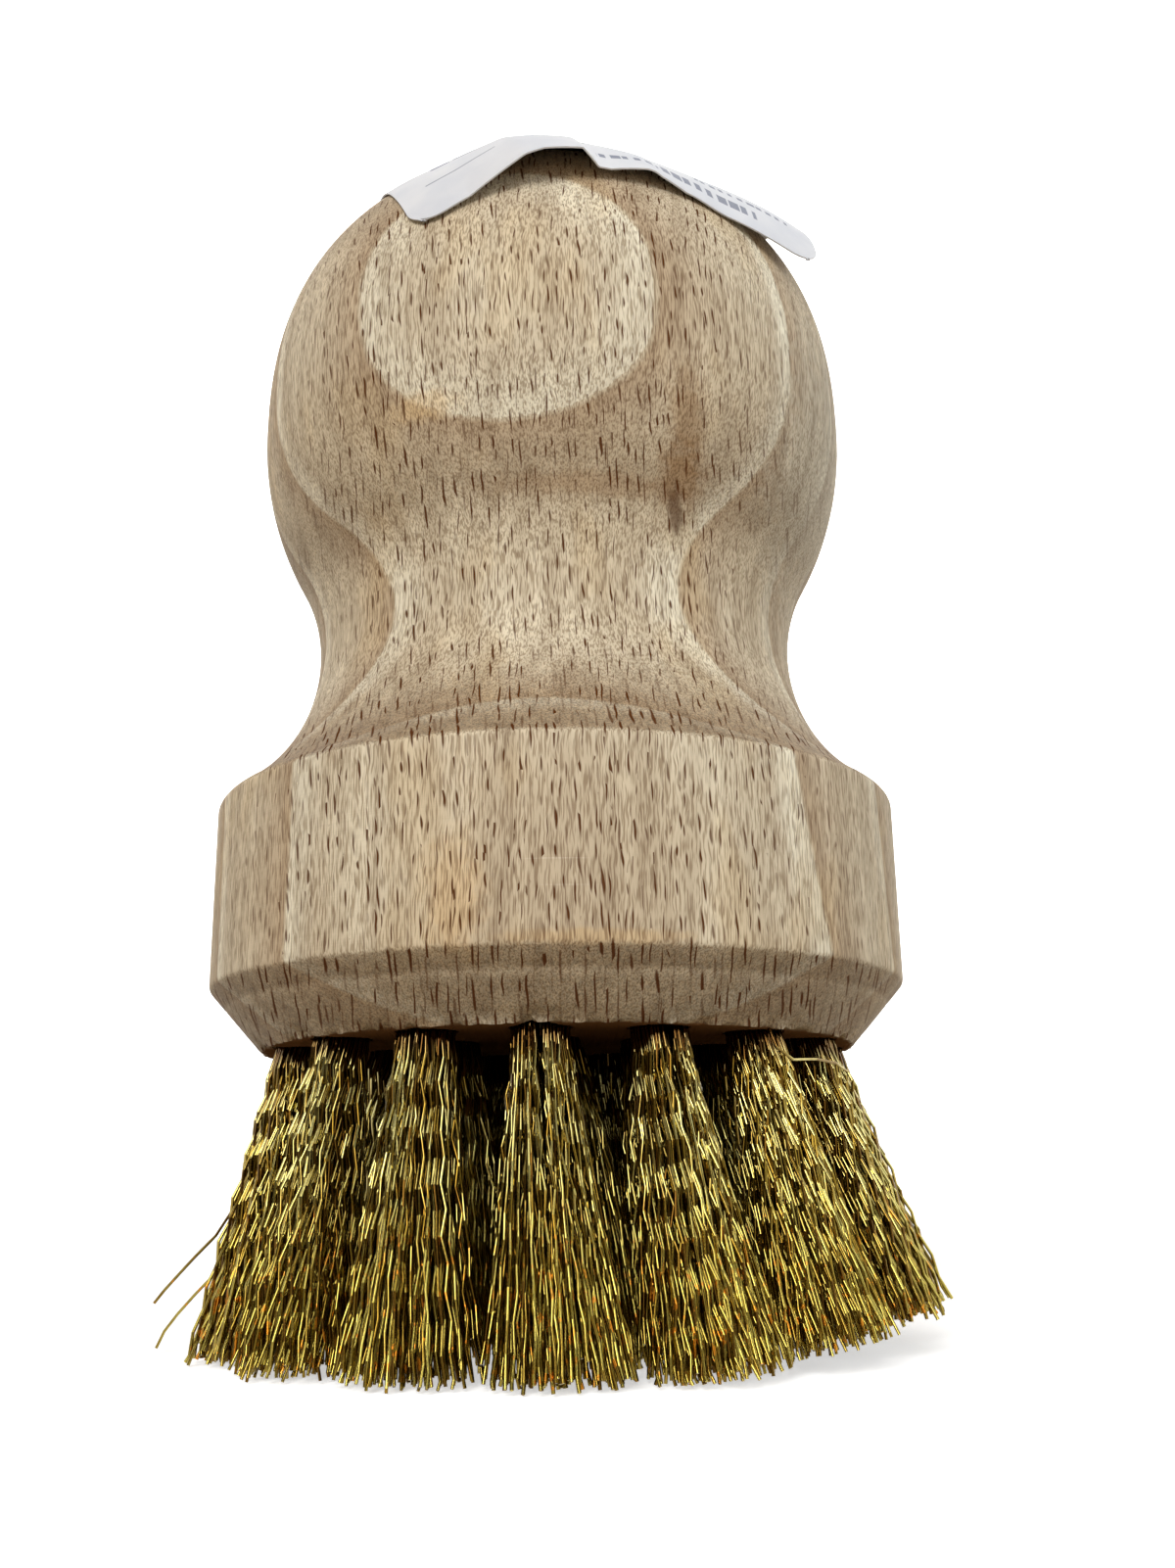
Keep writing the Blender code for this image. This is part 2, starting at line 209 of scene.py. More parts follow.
class NodeSheet:
    """Lays out the nodes of one tree with short calls."""

    def __init__(self, tree: bpy.types.NodeTree) -> None:
        """Starts on an existing tree."""
        self.tree = tree

    def feed(self, socket: bpy.types.NodeSocket, value: Feed) -> None:
        """Links a socket to a signal, or sets its value.

        Args:
            socket: The input.
            value: A signal, a number, a colour or a vector.
        """
        if isinstance(value, Signal):
            self.tree.links.new(value.socket, socket)
        elif isinstance(value, tuple) and socket.type == "RGBA":
            socket.default_value = (*value, 1.0)
        else:
            socket.default_value = value

    def node(self, kind: str, inputs: Inputs = (), **settings: object) -> bpy.types.Node:
        """Adds a node and feeds it.

        Args:
            kind: The node's type, without its ShaderNode prefix.
            inputs: What its inputs take, in order or by name or number.
            settings: Properties to set on it.

        Returns:
            The node.
        """
        made = self.tree.nodes.new(f"ShaderNode{kind}")
        for name, value in settings.items():
            setattr(made, name, value)
        pairs = inputs.items() if isinstance(inputs, dict) else enumerate(inputs)
        for key, value in pairs:
            self.feed(made.inputs[key], value)
        return made

    def signal(self, output: Key, kind: str, inputs: Inputs = (), **settings: object) -> "Signal":
        """One output of a new node."""
        return Signal(self, self.node(kind, inputs, **settings).outputs[output])

    def math(self, operation: str, *values: Feed) -> "Signal":
        """The result of a Math node."""
        return self.signal("Value", "Math", values, operation=operation)

    def vector(self, across: Feed, deep: Feed, up: Feed = 0.0) -> "Signal":
        """Three numbers as a vector."""
        return self.signal("Vector", "CombineXYZ", (across, deep, up))

    def blend(self, share: Feed, low: Feed, high: Feed, mode: str = "MIX") -> "Signal":
        """A mix of two colours, with the share of the second one."""
        inputs = {"Factor": share, 6: low, 7: high}
        return self.signal(2, "Mix", inputs, data_type="RGBA", blend_type=mode)

    def use(self, group: bpy.types.NodeTree, **inputs: Feed) -> "Signal":
        """The one output of a group."""
        return self.signal(0, "Group", inputs, node_tree=group)


@dataclass(frozen=True)
class Signal:
    """A number, colour or vector in a node tree, to write formulas with."""

    sheet: NodeSheet
    socket: bpy.types.NodeSocket

    def __add__(self, other: Feed) -> "Signal":
        """The sum."""
        return self.sheet.math("ADD", self, other)

    def __sub__(self, other: Feed) -> "Signal":
        """The difference."""
        return self.sheet.math("SUBTRACT", self, other)

    def __rsub__(self, other: Feed) -> "Signal":
        """A number less this one."""
        return self.sheet.math("SUBTRACT", other, self)

    def __mul__(self, other: Feed) -> "Signal":
        """The product."""
        return self.sheet.math("MULTIPLY", self, other)

    def __truediv__(self, other: Feed) -> "Signal":
        """The quotient."""
        return self.sheet.math("DIVIDE", self, other)

    def __rtruediv__(self, other: Feed) -> "Signal":
        """A number divided by this one."""
        return self.sheet.math("DIVIDE", other, self)

    def __abs__(self) -> "Signal":
        """The number without its sign."""
        return self.sheet.math("ABSOLUTE", self)

    def step(self, low: Feed, high: Feed) -> "Signal":
        """An eased step from 0 at low to 1 at high."""
        return self.sheet.signal("Result", "MapRange", (self, low, high), interpolation_type="SMOOTHSTEP")

    def noise(self, detail: float = 2.0, roughness: float = 0.5, scale: Feed = 1.0) -> "Signal":
        """Soft noise round 0.5 at these coordinates."""
        inputs = {"Vector": self, "Scale": scale, "Detail": detail, "Roughness": roughness}
        return self.sheet.signal("Fac", "TexNoise", inputs)

    def bump(self, distance: float, strength: float = 1.0) -> "Signal":
        """The normal of a surface with this relief, for a height of 1 at the distance in metres."""
        inputs = {"Height": self, "Distance": distance, "Strength": strength}
        return self.sheet.signal("Normal", "Bump", inputs)

    def placed(self, scale: tuple, turn: float = 0.0, shift: tuple = (0, 0, 0)) -> "Signal":
        """These coordinates scaled, turned round Z and then shifted."""
        return self.sheet.signal("Vector", "Mapping", (self, shift, (0, 0, turn), scale))

    def parts(self) -> list["Signal"]:
        """The three numbers of this vector or colour."""
        return [Signal(self.sheet, output) for output in self.sheet.node("SeparateXYZ", (self,)).outputs]

    def vector_math(self, operation: str, other: Feed) -> "Signal":
        """The vector that a VectorMath node makes of this one and another."""
        return self.sheet.signal("Vector", "VectorMath", (self, other), operation=operation)

    def length(self) -> "Signal":
        """The length of this vector."""
        return self.sheet.signal("Value", "VectorMath", (self,), operation="LENGTH")


def make_group(name: str, output: str, formula: Callable[..., Signal], **inputs: Feed) -> bpy.types.NodeTree:
    """Makes a node group of one formula.

    Args:
        name: The group's name.
        output: Name of its one output, a number.
        formula: Takes the inputs in order and gives the output.
        inputs: Default value of each input, a number or a vector.

    Returns:
        The group.
    """
    group = bpy.data.node_groups.new(name, "ShaderNodeTree")
    for title, value in inputs.items():
        kind = "NodeSocketVector" if isinstance(value, tuple) else "NodeSocketFloat"
        group.interface.new_socket(name=title, in_out="INPUT", socket_type=kind).default_value = value
    group.interface.new_socket(name=output, in_out="OUTPUT", socket_type="NodeSocketFloat")
    sheet = NodeSheet(group)
    given = group.nodes.new("NodeGroupInput")
    result = group.nodes.new("NodeGroupOutput")
    sheet.feed(result.inputs[output], formula(*(Signal(sheet, given.outputs[title]) for title in inputs)))
    return group


class SharedEffects:
    """Node groups that several finishes use, each built once, with sizes in millimetres."""

    def __init__(self) -> None:
        """Builds the groups."""
        none = (0.0, 0.0, 0.0)
        full = (1.0, 1.0, 1.0)
        self.patches = make_group("mottle", "Tone", self.patch_tone, Vector=none, Size=10.0, Contrast=1.0)
        self.streaks = make_group("fibres", "Tone", self.streak_tone, Vector=none, Width=0.2, Length=3.0)
        self.spots = make_group("soft spot", "Mask", self.spot_mask, Vector=none, Centre=none, Radii=full)

    @staticmethod
    def patch_tone(vector: Signal, size: Signal, contrast: Signal) -> Signal:
        """Formula of the soft patches."""
        half = 0.16 / contrast
        return vector.noise(detail=3.0, roughness=0.55, scale=1.0 / size).step(0.5 - half, half + 0.5)

    @staticmethod
    def streak_tone(vector: Signal, width: Signal, length: Signal) -> Signal:
        """Formula of the streaks."""
        across, deep, up = vector.parts()
        return vector.sheet.vector(across / width, deep / width, up / length).noise(1.0, 0.55)

    @staticmethod
    def spot_mask(vector: Signal, centre: Signal, radii: Signal) -> Signal:
        """Formula of an uneven spot."""
        reach = vector.vector_math("SUBTRACT", centre).vector_math("DIVIDE", radii).length()
        return 1.0 - ((vector.noise(3.0, 0.6, 0.9) - 0.5) * 1.1 + reach).step(0.3, 1.15)

    def mottle(self, vector: Signal, size: float, contrast: float) -> Signal:
        """Soft patches of a given size, from 0 to 1."""
        return vector.sheet.use(self.patches, Vector=vector, Size=size, Contrast=contrast)

    def fibres(self, vector: Signal, width: float, length: float) -> Signal:
        """Fine streaks along Z, round 0.5."""
        return vector.sheet.use(self.streaks, Vector=vector, Width=width, Length=length)

    def soft_spot(self, vector: Signal, centre: Point, radii: Point) -> Signal:
        """One uneven spot, 1 in its middle and 0 outside."""
        return vector.sheet.use(self.spots, Vector=vector, Centre=centre, Radii=radii)


class Finish:
    """What the inputs of a Principled BSDF take."""

    def inputs(self, sheet: NodeSheet) -> dict[str, Feed]:
        """The inputs' values by name, which each finish says for itself."""
        raise NotImplementedError

    def material(self, name: str) -> bpy.types.Material:
        """Makes a material of this finish.

        Args:
            name: The material's name.

        Returns:
            The material.
        """
        material = bpy.data.materials.new(name)
        material.use_nodes = True
        sheet = NodeSheet(material.node_tree)
        shader = material.node_tree.nodes["Principled BSDF"]
        for socket, value in self.inputs(sheet).items():
            sheet.feed(shader.inputs[socket], value)
        return material


@dataclass(frozen=True)
class PaleFinish(Finish):
    """Seen as white, with a share of it whatever the light, while it gives little light back."""

    glow: float
    white: Colour = (0.95, 0.95, 0.95)
    bounce: Colour = (0.48, 0.42, 0.34)
    roughness: float = 0.9

    def inputs(self, sheet: NodeSheet) -> dict[str, Feed]:
        """What the shader's inputs take.

        Args:
            sheet: The material's sheet.

        Returns:
            Their values by name.
        """
        kinds = ("Is Camera Ray", "Is Glossy Ray", "Is Transmission Ray")
        seen, glossy, through = (sheet.signal(kind, "LightPath") for kind in kinds)
        seen = sheet.math("MAXIMUM", sheet.math("MAXIMUM", seen, glossy), through)
        return {
            "Base Color": sheet.blend(seen, self.bounce, self.white),
            "Roughness": self.roughness,
            "Specular IOR Level": 0.0,
            "Emission Color": (1.0, 1.0, 1.0),
            "Emission Strength": seen * self.glow,
        }


@dataclass(frozen=True)
class StainOrPaintedLight:
    """A mark on the wood or a patch of painted light, in millimetres from the middle of the handle."""

    centre: Point
    radii: Point
    colour: Colour
    share: float


@dataclass(frozen=True)
class BeechFinish(Finish):
    """Sanded, unsealed beech, sawn so that its growth rings stand nearly flat across the front, with painted
    shade on the underside and a patch of painted light on the right of the knob.
    """

    effects: SharedEffects
    middle_z: float = 59.0 * MM
    base_z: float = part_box("handle")[0].z
    underside_shade_radius: float = 25.3
    turn: float = math.radians(-3.25)
    pith: tuple[float, float] = (4.2, 49.0)
    ring_tilt: tuple[float, float, float] = (-0.0094, -0.0021, 0.00096)
    first_ring: float = 75.1
    ring_spacing: float = 6.6
    ring_edge: float = 0.03
    cream: Colour = tint(225, 218, 198)
    tan: Colour = tint(197, 182, 156)
    late: Colour = tint(158, 130, 99)
    warm: Colour = tint(206, 178, 128)
    end_grain: Colour = tint(134, 112, 84)
    end_share: float = 0.74
    pore_pale: float = 1.5
    pore_dark: float = 0.55
    # underside: painted shade, the dark colour of the flat underside between the tufts, which the tufts
    # shade
    underside: Colour = tint(112, 78, 50)
    fleck: Colour = tint(84, 44, 18)
    fine_fibre: tuple[float, float] = (0.115, 1.6)
    coarse_fibre: tuple[float, float] = (1.5, 20.0)
    ring_jag: tuple[float, float] = (0.35, 3.5)
    streak_dark: Colour = (0.64, 0.57, 0.5)
    streak_light: Colour = (1.17, 1.17, 1.16)
    fleck_cell: Point = (0.8, 5.0, 2.3)
    fleck_half: tuple[float, float] = (0.092, 1.05)
    fleck_share: float = 0.95
    side_fade: float = 0.72
    roughness: float = 0.58
    fibre_roughness: float = 0.16
    underside_roughness: float = 0.3
    sheen: float = 0.26
    grain_depth: float = 0.07 * MM
    stains_and_painted_light: tuple[StainOrPaintedLight, ...] = (
        # Painted light: a pale grey patch over the right side of the knob, where light from the right falls.
        StainOrPaintedLight((24.0, -11.6, 14.0), (9.0, 12.0, 17.0), tint(188, 181, 164), 0.6),
        StainOrPaintedLight((3.0, -22.8, 8.1), (10.0, 4.0, 1.2), tint(150, 116, 78), 0.4),
        StainOrPaintedLight((10.9, -23.6, 13.4), (1.9, 4.0, 5.4), tint(146, 112, 70), 0.6),
        StainOrPaintedLight((10.4, -22.2, 9.6), (2.7, 4.0, 3.1), tint(138, 104, 64), 0.74),
        StainOrPaintedLight((9.98, -20.6, 7.0), (0.8, 3.0, 2.5), tint(94, 64, 36), 0.74),
        StainOrPaintedLight((-7.2, -29.2, -26.6), (2.8, 3.0, 5.6), tint(212, 174, 118), 0.34),
        StainOrPaintedLight((3.0, -29.6, -29.5), (8.5, 3.0, 0.7), tint(206, 172, 120), 0.4),
        StainOrPaintedLight((-10.2, -24.2, 14.6), (3.6, 4.0, 1.5), tint(220, 188, 136), 0.42),
        StainOrPaintedLight((0.3, -30.0, -24.0), (2.9, 2.0, 0.06), tint(226, 214, 196), 0.45),
        StainOrPaintedLight((0.8, -30.0, -25.9), (2.1, 2.0, 0.05), tint(226, 214, 196), 0.4),
    )

    def inputs(self, sheet: NodeSheet) -> dict[str, Feed]:
        """What the shader's inputs take.

        Args:
            sheet: The material's sheet.

        Returns:
            Their values by name.
        """
        place = sheet.signal("Object", "TexCoord")
        spot = place.placed(PER_MM, turn=self.turn, shift=(0, 0, -self.middle_z / MM))
        aside, _, upward = sheet.signal("Normal", "TexCoord").parts()
        ends = abs(upward).step(0.2, 0.85)
        sides = abs(aside).step(0.5, 0.95)
        wavy = self.waver(spot)
        fine = self.effects.fibres(wavy, *self.fine_fibre)
        coarse = self.effects.fibres(wavy, *self.coarse_fibre)
        flecks = self.flecks(wavy, ends) * (1.0 - sides * self.side_fade)

        colour = self.end_cut(spot, self.heartwood(spot, wavy), ends)
        # Stains and marks, and one patch of painted light.
        for marking in self.stains_and_painted_light:
            mask = self.effects.soft_spot(spot, marking.centre, marking.radii)
            colour = sheet.blend(mask * marking.share, colour, marking.colour)
        colour = self.streaked(colour, fine.step(0.36, 0.58))
        colour = self.streaked(colour, (coarse * 0.4 + 0.36).step(0.3, 0.75))
        colour = sheet.blend(flecks * self.fleck_share, colour, self.fleck)

        across, deep, _ = spot.parts()
        from_axis = sheet.vector(across, deep).length()
        # Painted shade: the flat underside between the tufts takes the dark underside colour and less sheen.
        underside_shade_mask = from_axis.step(self.underside_shade_radius + 0.15, self.underside_shade_radius - 0.15)
        underside_shade_mask = place.parts()[2].step(self.base_z + 0.3 * MM, self.base_z + 0.05 * MM) * underside_shade_mask
        dull = sheet.math("MAXIMUM", underside_shade_mask, flecks)
        return {
            "Base Color": sheet.blend(underside_shade_mask, colour, self.underside),
            "Roughness": underside_shade_mask * self.underside_roughness + (fine * self.fibre_roughness + self.roughness),
            "Specular IOR Level": dull * -self.sheen + self.sheen,
            "Normal": self.grain_normal(spot, fine, flecks),
        }

    def waver(self, spot: Signal) -> Signal:
        """Coordinates along fibres that waver a little.

        Args:
            spot: Coordinates in millimetres.

        Returns:
            The wavering coordinates.
        """
        slow = spot.placed((0.05, 0.05, 0.03)).noise(detail=1.0)
        quick = spot.placed((1.4, 0.4, 0.6), shift=(3, 5, 9)).noise(detail=1.0)
        across, deep, up = spot.parts()
        sway = (slow - 0.5) * 1.2 + across
        return spot.sheet.vector((quick - 0.5) * 0.3 + sway, deep, up)

    def ring_share(self, wavy: Signal) -> tuple[Signal, Signal]:
        """How far out in its growth ring the wood lies.

        Args:
            wavy: Coordinates along the fibres.

        Returns:
            The share of the ring, from its early to its late side, and how strong that ring's latewood is.
        """
        sheet = wavy.sheet
        across, deep, up = wavy.parts()
        lean, twist, bow = self.ring_tilt
        level = deep - up * ((across * twist + lean) + up * bow)
        from_pith = sheet.vector(across - self.pith[0], level - self.pith[1]).length()
        radius = (self.effects.fibres(wavy, *self.ring_jag) - 0.5) * 0.16 + from_pith
        turns = (radius - self.first_ring) / self.ring_spacing
        number = {"W": sheet.math("FLOOR", turns)}
        strength = sheet.signal("Value", "TexWhiteNoise", number, noise_dimensions="1D")
        return sheet.math("FRACT", turns), strength * 0.25 + 0.68

    def heartwood(self, spot: Signal, wavy: Signal) -> Signal:
        """The wood's colour from ring to ring, with soft patches.

        Args:
            spot: Coordinates in millimetres.
            wavy: Coordinates along the fibres.

        Returns:
            The colour.
        """
        sheet = spot.sheet
        share, strong = self.ring_share(wavy)
        settled = share.step(0.02, 0.26) * 0.62 + self.effects.mottle(spot, 20.0, 0.9) * 0.3
        colour = sheet.blend(settled, self.cream, self.tan)
        deepening = sheet.math("POWER", share, 4.0) * 0.9 + share * 0.1
        ended = 1.0 - share.step(1.0 - self.ring_edge, 1.0)
        colour = sheet.blend(deepening * ended * strong, colour, self.late)
        second = share.step(0.12, 0.2) * share.step(0.3, 0.2)
        colour = sheet.blend(second * 0.12, colour, self.late)
        warmth = self.effects.mottle(spot.placed((1, 1, 0.5), shift=(31, 7, 12)), 9.0, 0.8)
        return sheet.blend(warmth.step(0.6, 1.0) * 0.22, colour, self.warm)

    def end_cut(self, spot: Signal, colour: Signal, ends: Signal) -> Signal:
        """Greyer, speckled wood where the surface cuts across the fibres.

        Args:
            spot: Coordinates in millimetres.
            colour: The colour so far.
            ends: How far the surface cuts across the fibres.

        Returns:
            The new colour.
        """
        speckle = spot.placed((4.6, 4.6, 1.3)).noise(detail=3.0, roughness=0.75).step(0.38, 0.62)
        dark = tuple(self.pore_dark * part for part in self.end_grain)
        pale = tuple(self.pore_pale * part for part in self.end_grain)
        return spot.sheet.blend(ends * self.end_share, colour, spot.sheet.blend(speckle, dark, pale))

    def streaked(self, colour: Signal, tone: Signal) -> Signal:
        """Darkens and lightens a colour by a tone from 0 to 1."""
        shade = colour.sheet.blend(tone, self.streak_dark, self.streak_light)
        return colour.sheet.blend(1.0, colour, shade, mode="MULTIPLY")

    def flecks(self, wavy: Signal, ends: Signal) -> Signal:
        """Dark ray flecks: upright spindles across the front, sheets that run in towards the pith.

        Args:
            wavy: Coordinates along the fibres.
            ends: How far the surface cuts across the fibres.

        Returns:
            The share of fleck.
        """
        sheet = wavy.sheet
        width, depth, height = self.fleck_cell
        half_width, half_height = self.fleck_half
        cells = wavy.placed((1 / width, 1 / depth, 1 / height))
        inputs = {"Vector": cells, "Scale": 1.0, "Randomness": 0.95}
        nearest = sheet.node("TexVoronoi", inputs, feature="F1", distance="EUCLIDEAN")
        centre = Signal(sheet, nearest.outputs["Position"])
        across, _, up = cells.vector_math("SUBTRACT", centre).parts()
        red, green, blue = Signal(sheet, nearest.outputs["Color"]).parts()
        across = up * (red * 0.5 - 0.15) + across
        wide = (red * 0.7 + 0.55) * (half_width / width) * (ends * 0.35 + 1.0)
        tall = (green * 0.9 + 0.4) * (half_height / height) * (ends * 0.5 + 1.0)
        inside = 1.0 - sheet.vector(across / wide, up / tall).length().step(0.5, 1.1)
        return inside * (blue.step(0.2, 0.55) * 0.62 + 0.38)

    def grain_normal(self, spot: Signal, fibre: Signal, flecks: Signal) -> Signal:
        """The normal of fibres, sunken flecks and faint turning marks."""
        marks = spot.placed((0.02, 0.02, 2.6)).noise(detail=2.0, roughness=0.7)
        return (fibre * 0.8 + marks * 0.5 - flecks * 0.4).bump(self.grain_depth, strength=0.8)


@dataclass(frozen=True)
class BrassFinish(Finish):
    """Bright drawn brass wire, a little tarnished, with painted shade below the wood and on runs that turn
    in, painted highlight on runs that turn out, a paler base near the roots for whiter highlights, and
    painted amber glints.
    """

    effects: SharedEffects
    # bright: a paler base near the roots, painted so that highlights there read whiter; gold: the base lower
    # down
    bright: Colour = tint(208, 196, 130)
    gold: Colour = tint(184, 166, 82)
    olive: Colour = tint(130, 104, 38)
    dark: Colour = tint(100, 72, 26)
    # Painted reflection: amber glints that stand in for brass reflected in brass.
    amber_glint: Colour = tint(222, 140, 40)
    # Painted shade: the wires darken just below the wood, where the collar shades them.
    root_shade: Colour = tint(84, 54, 28)
    root_z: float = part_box("handle")[0].z
    root_fade: float = 2.8 * MM
    roughness: float = 0.045
    clouded: float = 0.08
    worn: float = 0.13

    def inputs(self, sheet: NodeSheet) -> dict[str, Feed]:
        """What the shader's inputs take.

        Args:
            sheet: The material's sheet.

        Returns:
            Their values by name.
        """
        place = sheet.signal("Object", "TexCoord")
        height = place.parts()[2]
        spot = place.placed(PER_MM)
        # The tone holds each wire's random tarnish and the painted shade and highlight of its runs.
        tone = sheet.signal("Fac", "Attribute", attribute_name=WireTuft.TONE_AND_SHADE)
        cloud = self.effects.mottle(spot, 2.4, 0.8)
        glint = self.effects.mottle(spot.placed((1, 1, 0.6), shift=(17, 3, 8)), 0.7, 1.0)
        low = height.step(0.6 * self.root_z, 0.15 * self.root_z)
        # Painted shade: the share of darkening just below the wood.
        under_wood_shade = height.step(self.root_z - self.root_fade, self.root_z - 0.2 * self.root_fade)
        # Painted highlight: the base is paler near the roots and golden lower down.
        painted_highlight_fade = height.step(0.85 * self.root_z, 0.2 * self.root_z)
        colour = sheet.blend(painted_highlight_fade, self.bright, self.gold)
        for share, layer in (
            ((tone * 0.8 + cloud * 0.25).step(0.2, 0.66), self.olive),
            (tone.step(0.66, 0.8), self.dark),
            # Painted reflection: amber glints low on the tufts.
            (glint.step(0.93, 0.99) * low * 0.75, self.amber_glint),
            (under_wood_shade * 0.85, self.root_shade),
        ):
            colour = sheet.blend(share, colour, layer)
        rough = cloud * self.clouded + self.roughness
        return {"Base Color": colour, "Metallic": 1.0, "Roughness": low * self.worn + rough}


@dataclass(frozen=True)
class SteelFinish(Finish):
    """Plain drawn steel strip."""

    effects: SharedEffects
    bright: Colour = tint(196, 197, 200)
    dull: Colour = tint(140, 141, 145)
    roughness: float = 0.34
    clouded: float = 0.14
    drawn_depth: float = 0.01 * MM

    def inputs(self, sheet: NodeSheet) -> dict[str, Feed]:
        """What the shader's inputs take.

        Args:
            sheet: The material's sheet.

        Returns:
            Their values by name.
        """
        spot = sheet.signal("Object", "TexCoord").placed(PER_MM)
        cloud = self.effects.mottle(spot, 0.9, 0.8)
        return {
            "Base Color": sheet.blend(cloud, self.bright, self.dull),
            "Metallic": 1.0,
            "Roughness": cloud * self.clouded + self.roughness,
            "Normal": self.effects.fibres(spot, 0.08, 0.9).bump(self.drawn_depth),
        }


@dataclass(frozen=True)
class PrintedBar:
    """A row of plain bars on the label, or one unbroken rule where its period is 0."""

    start: float
    end: float
    middle: float
    height: float
    period: float = 0.0

    def inputs(self) -> dict[str, float]:
        """What the group of a printed row takes for this one."""
        sizes = {"Start": self.start, "End": self.end, "Middle": self.middle, "Height": self.height}
        return {**sizes, "Period": max(self.period, 0.001), "Broken": 1.0 if self.period else 0.0}


@dataclass(frozen=True)
class PaperFinish(Finish):
    """White label paper with plain printed bars and a rule."""

    effects: SharedEffects
    length: float = 38.0
    width: float = 30.0
    paper: Colour = tint(224, 223, 224)
    shade: Colour = tint(210, 211, 216)
    ink: Colour = tint(96, 102, 122)
    roughness: float = 0.52
    clouded: float = 0.1
    crease_depth: float = 0.12 * MM
    bars: tuple[PrintedBar, ...] = (
        PrintedBar(-16.4, -9.9, -9.2, 0.2),
        PrintedBar(-7.0, -2.6, -9.4, 0.9, 1.0),
        PrintedBar(-2.2, 3.2, -12.6, 0.8, 1.0),
        PrintedBar(3.6, 13.0, -12.3, 1.5, 1.15),
        PrintedBar(7.5, 16.5, -9.6, 0.8, 0.9),
        PrintedBar(-15.0, 14.5, -4.2, 1.9, 4.3),
        PrintedBar(-15.0, 15.0, -1.2, 0.22),
        PrintedBar(-15.0, 12.5, 1.4, 0.9, 2.15),
        PrintedBar(-15.0, 14.2, 3.9, 0.9, 2.15),
        PrintedBar(-15.0, 9.4, 6.4, 0.9, 2.15),
        PrintedBar(-15.0, 15.0, 9.6, 0.22),
    )

    def inputs(self, sheet: NodeSheet) -> dict[str, Feed]:
        """What the shader's inputs take.

        Args:
            sheet: The material's sheet.

        Returns:
            Their values by name.
        """
        flat = sheet.signal("UV", "UVMap", uv_map=PaperLabel.SHEET_MAP)
        spot = flat.placed((self.length, self.width, 1), shift=(-self.length / 2, -self.width / 2, 0))
        sizes = {"Start": 0.0, "End": 1.0, "Middle": 0.0, "Height": 1.0, "Period": 1.0, "Broken": 1.0}
        row = make_group("printed row", "Ink", self.row_ink, Vector=(0.0, 0.0, 0.0), **sizes)
        ink, *others = (sheet.use(row, Vector=spot, **bar.inputs()) for bar in self.bars)
        for printed in others:
            ink = sheet.math("MAXIMUM", ink, printed)
        cloud = self.effects.mottle(spot, 6.0, 0.6)
        pulp = spot.noise(detail=3.0, roughness=0.7, scale=5.0)
        creases = spot.placed((0.35, 0.12, 1)).noise(detail=3.0, roughness=0.6)
        plain = sheet.blend(cloud, self.paper, self.shade)
        return {
            "Base Color": sheet.blend(ink * (pulp * 0.5 + 0.55), plain, self.ink),
            "Roughness": cloud * self.clouded + self.roughness,
            "Normal": (pulp * 0.12 + creases).bump(self.crease_depth, strength=0.5),
        }

    @staticmethod
    def row_ink(vector: Signal, *sizes: Signal) -> Signal:
        """Formula of a row of bars of uneven lengths, or of one rule.

        Args:
            vector: Coordinates on the sheet, in millimetres.
            sizes: The sizes of a printed bar, and 1 for bars or 0 for one rule.

        Returns:
            The ink, from 0 to 1.
        """
        start, end, middle, height, period, broken = sizes
        blur = 0.05
        sheet = vector.sheet
        along, across, _ = vector.parts()
        after = (along - start).step(-blur, blur)
        before = (end - along).step(-blur, blur)
        inside = (height * 0.5 - abs(across - middle)).step(-blur, blur)
        cell = along / period
        place = {"Vector": sheet.vector(sheet.math("FLOOR", cell), sheet.math("FLOOR", middle))}
        filled = sheet.signal("Value", "TexWhiteNoise", place, noise_dimensions="2D") * 0.5 + 0.42
        shown = 1.0 - (sheet.math("FRACT", cell) - filled).step(-0.03, 0.03)
        return after * before * (inside * sheet.math("MAXIMUM", shown, 1.0 - broken))


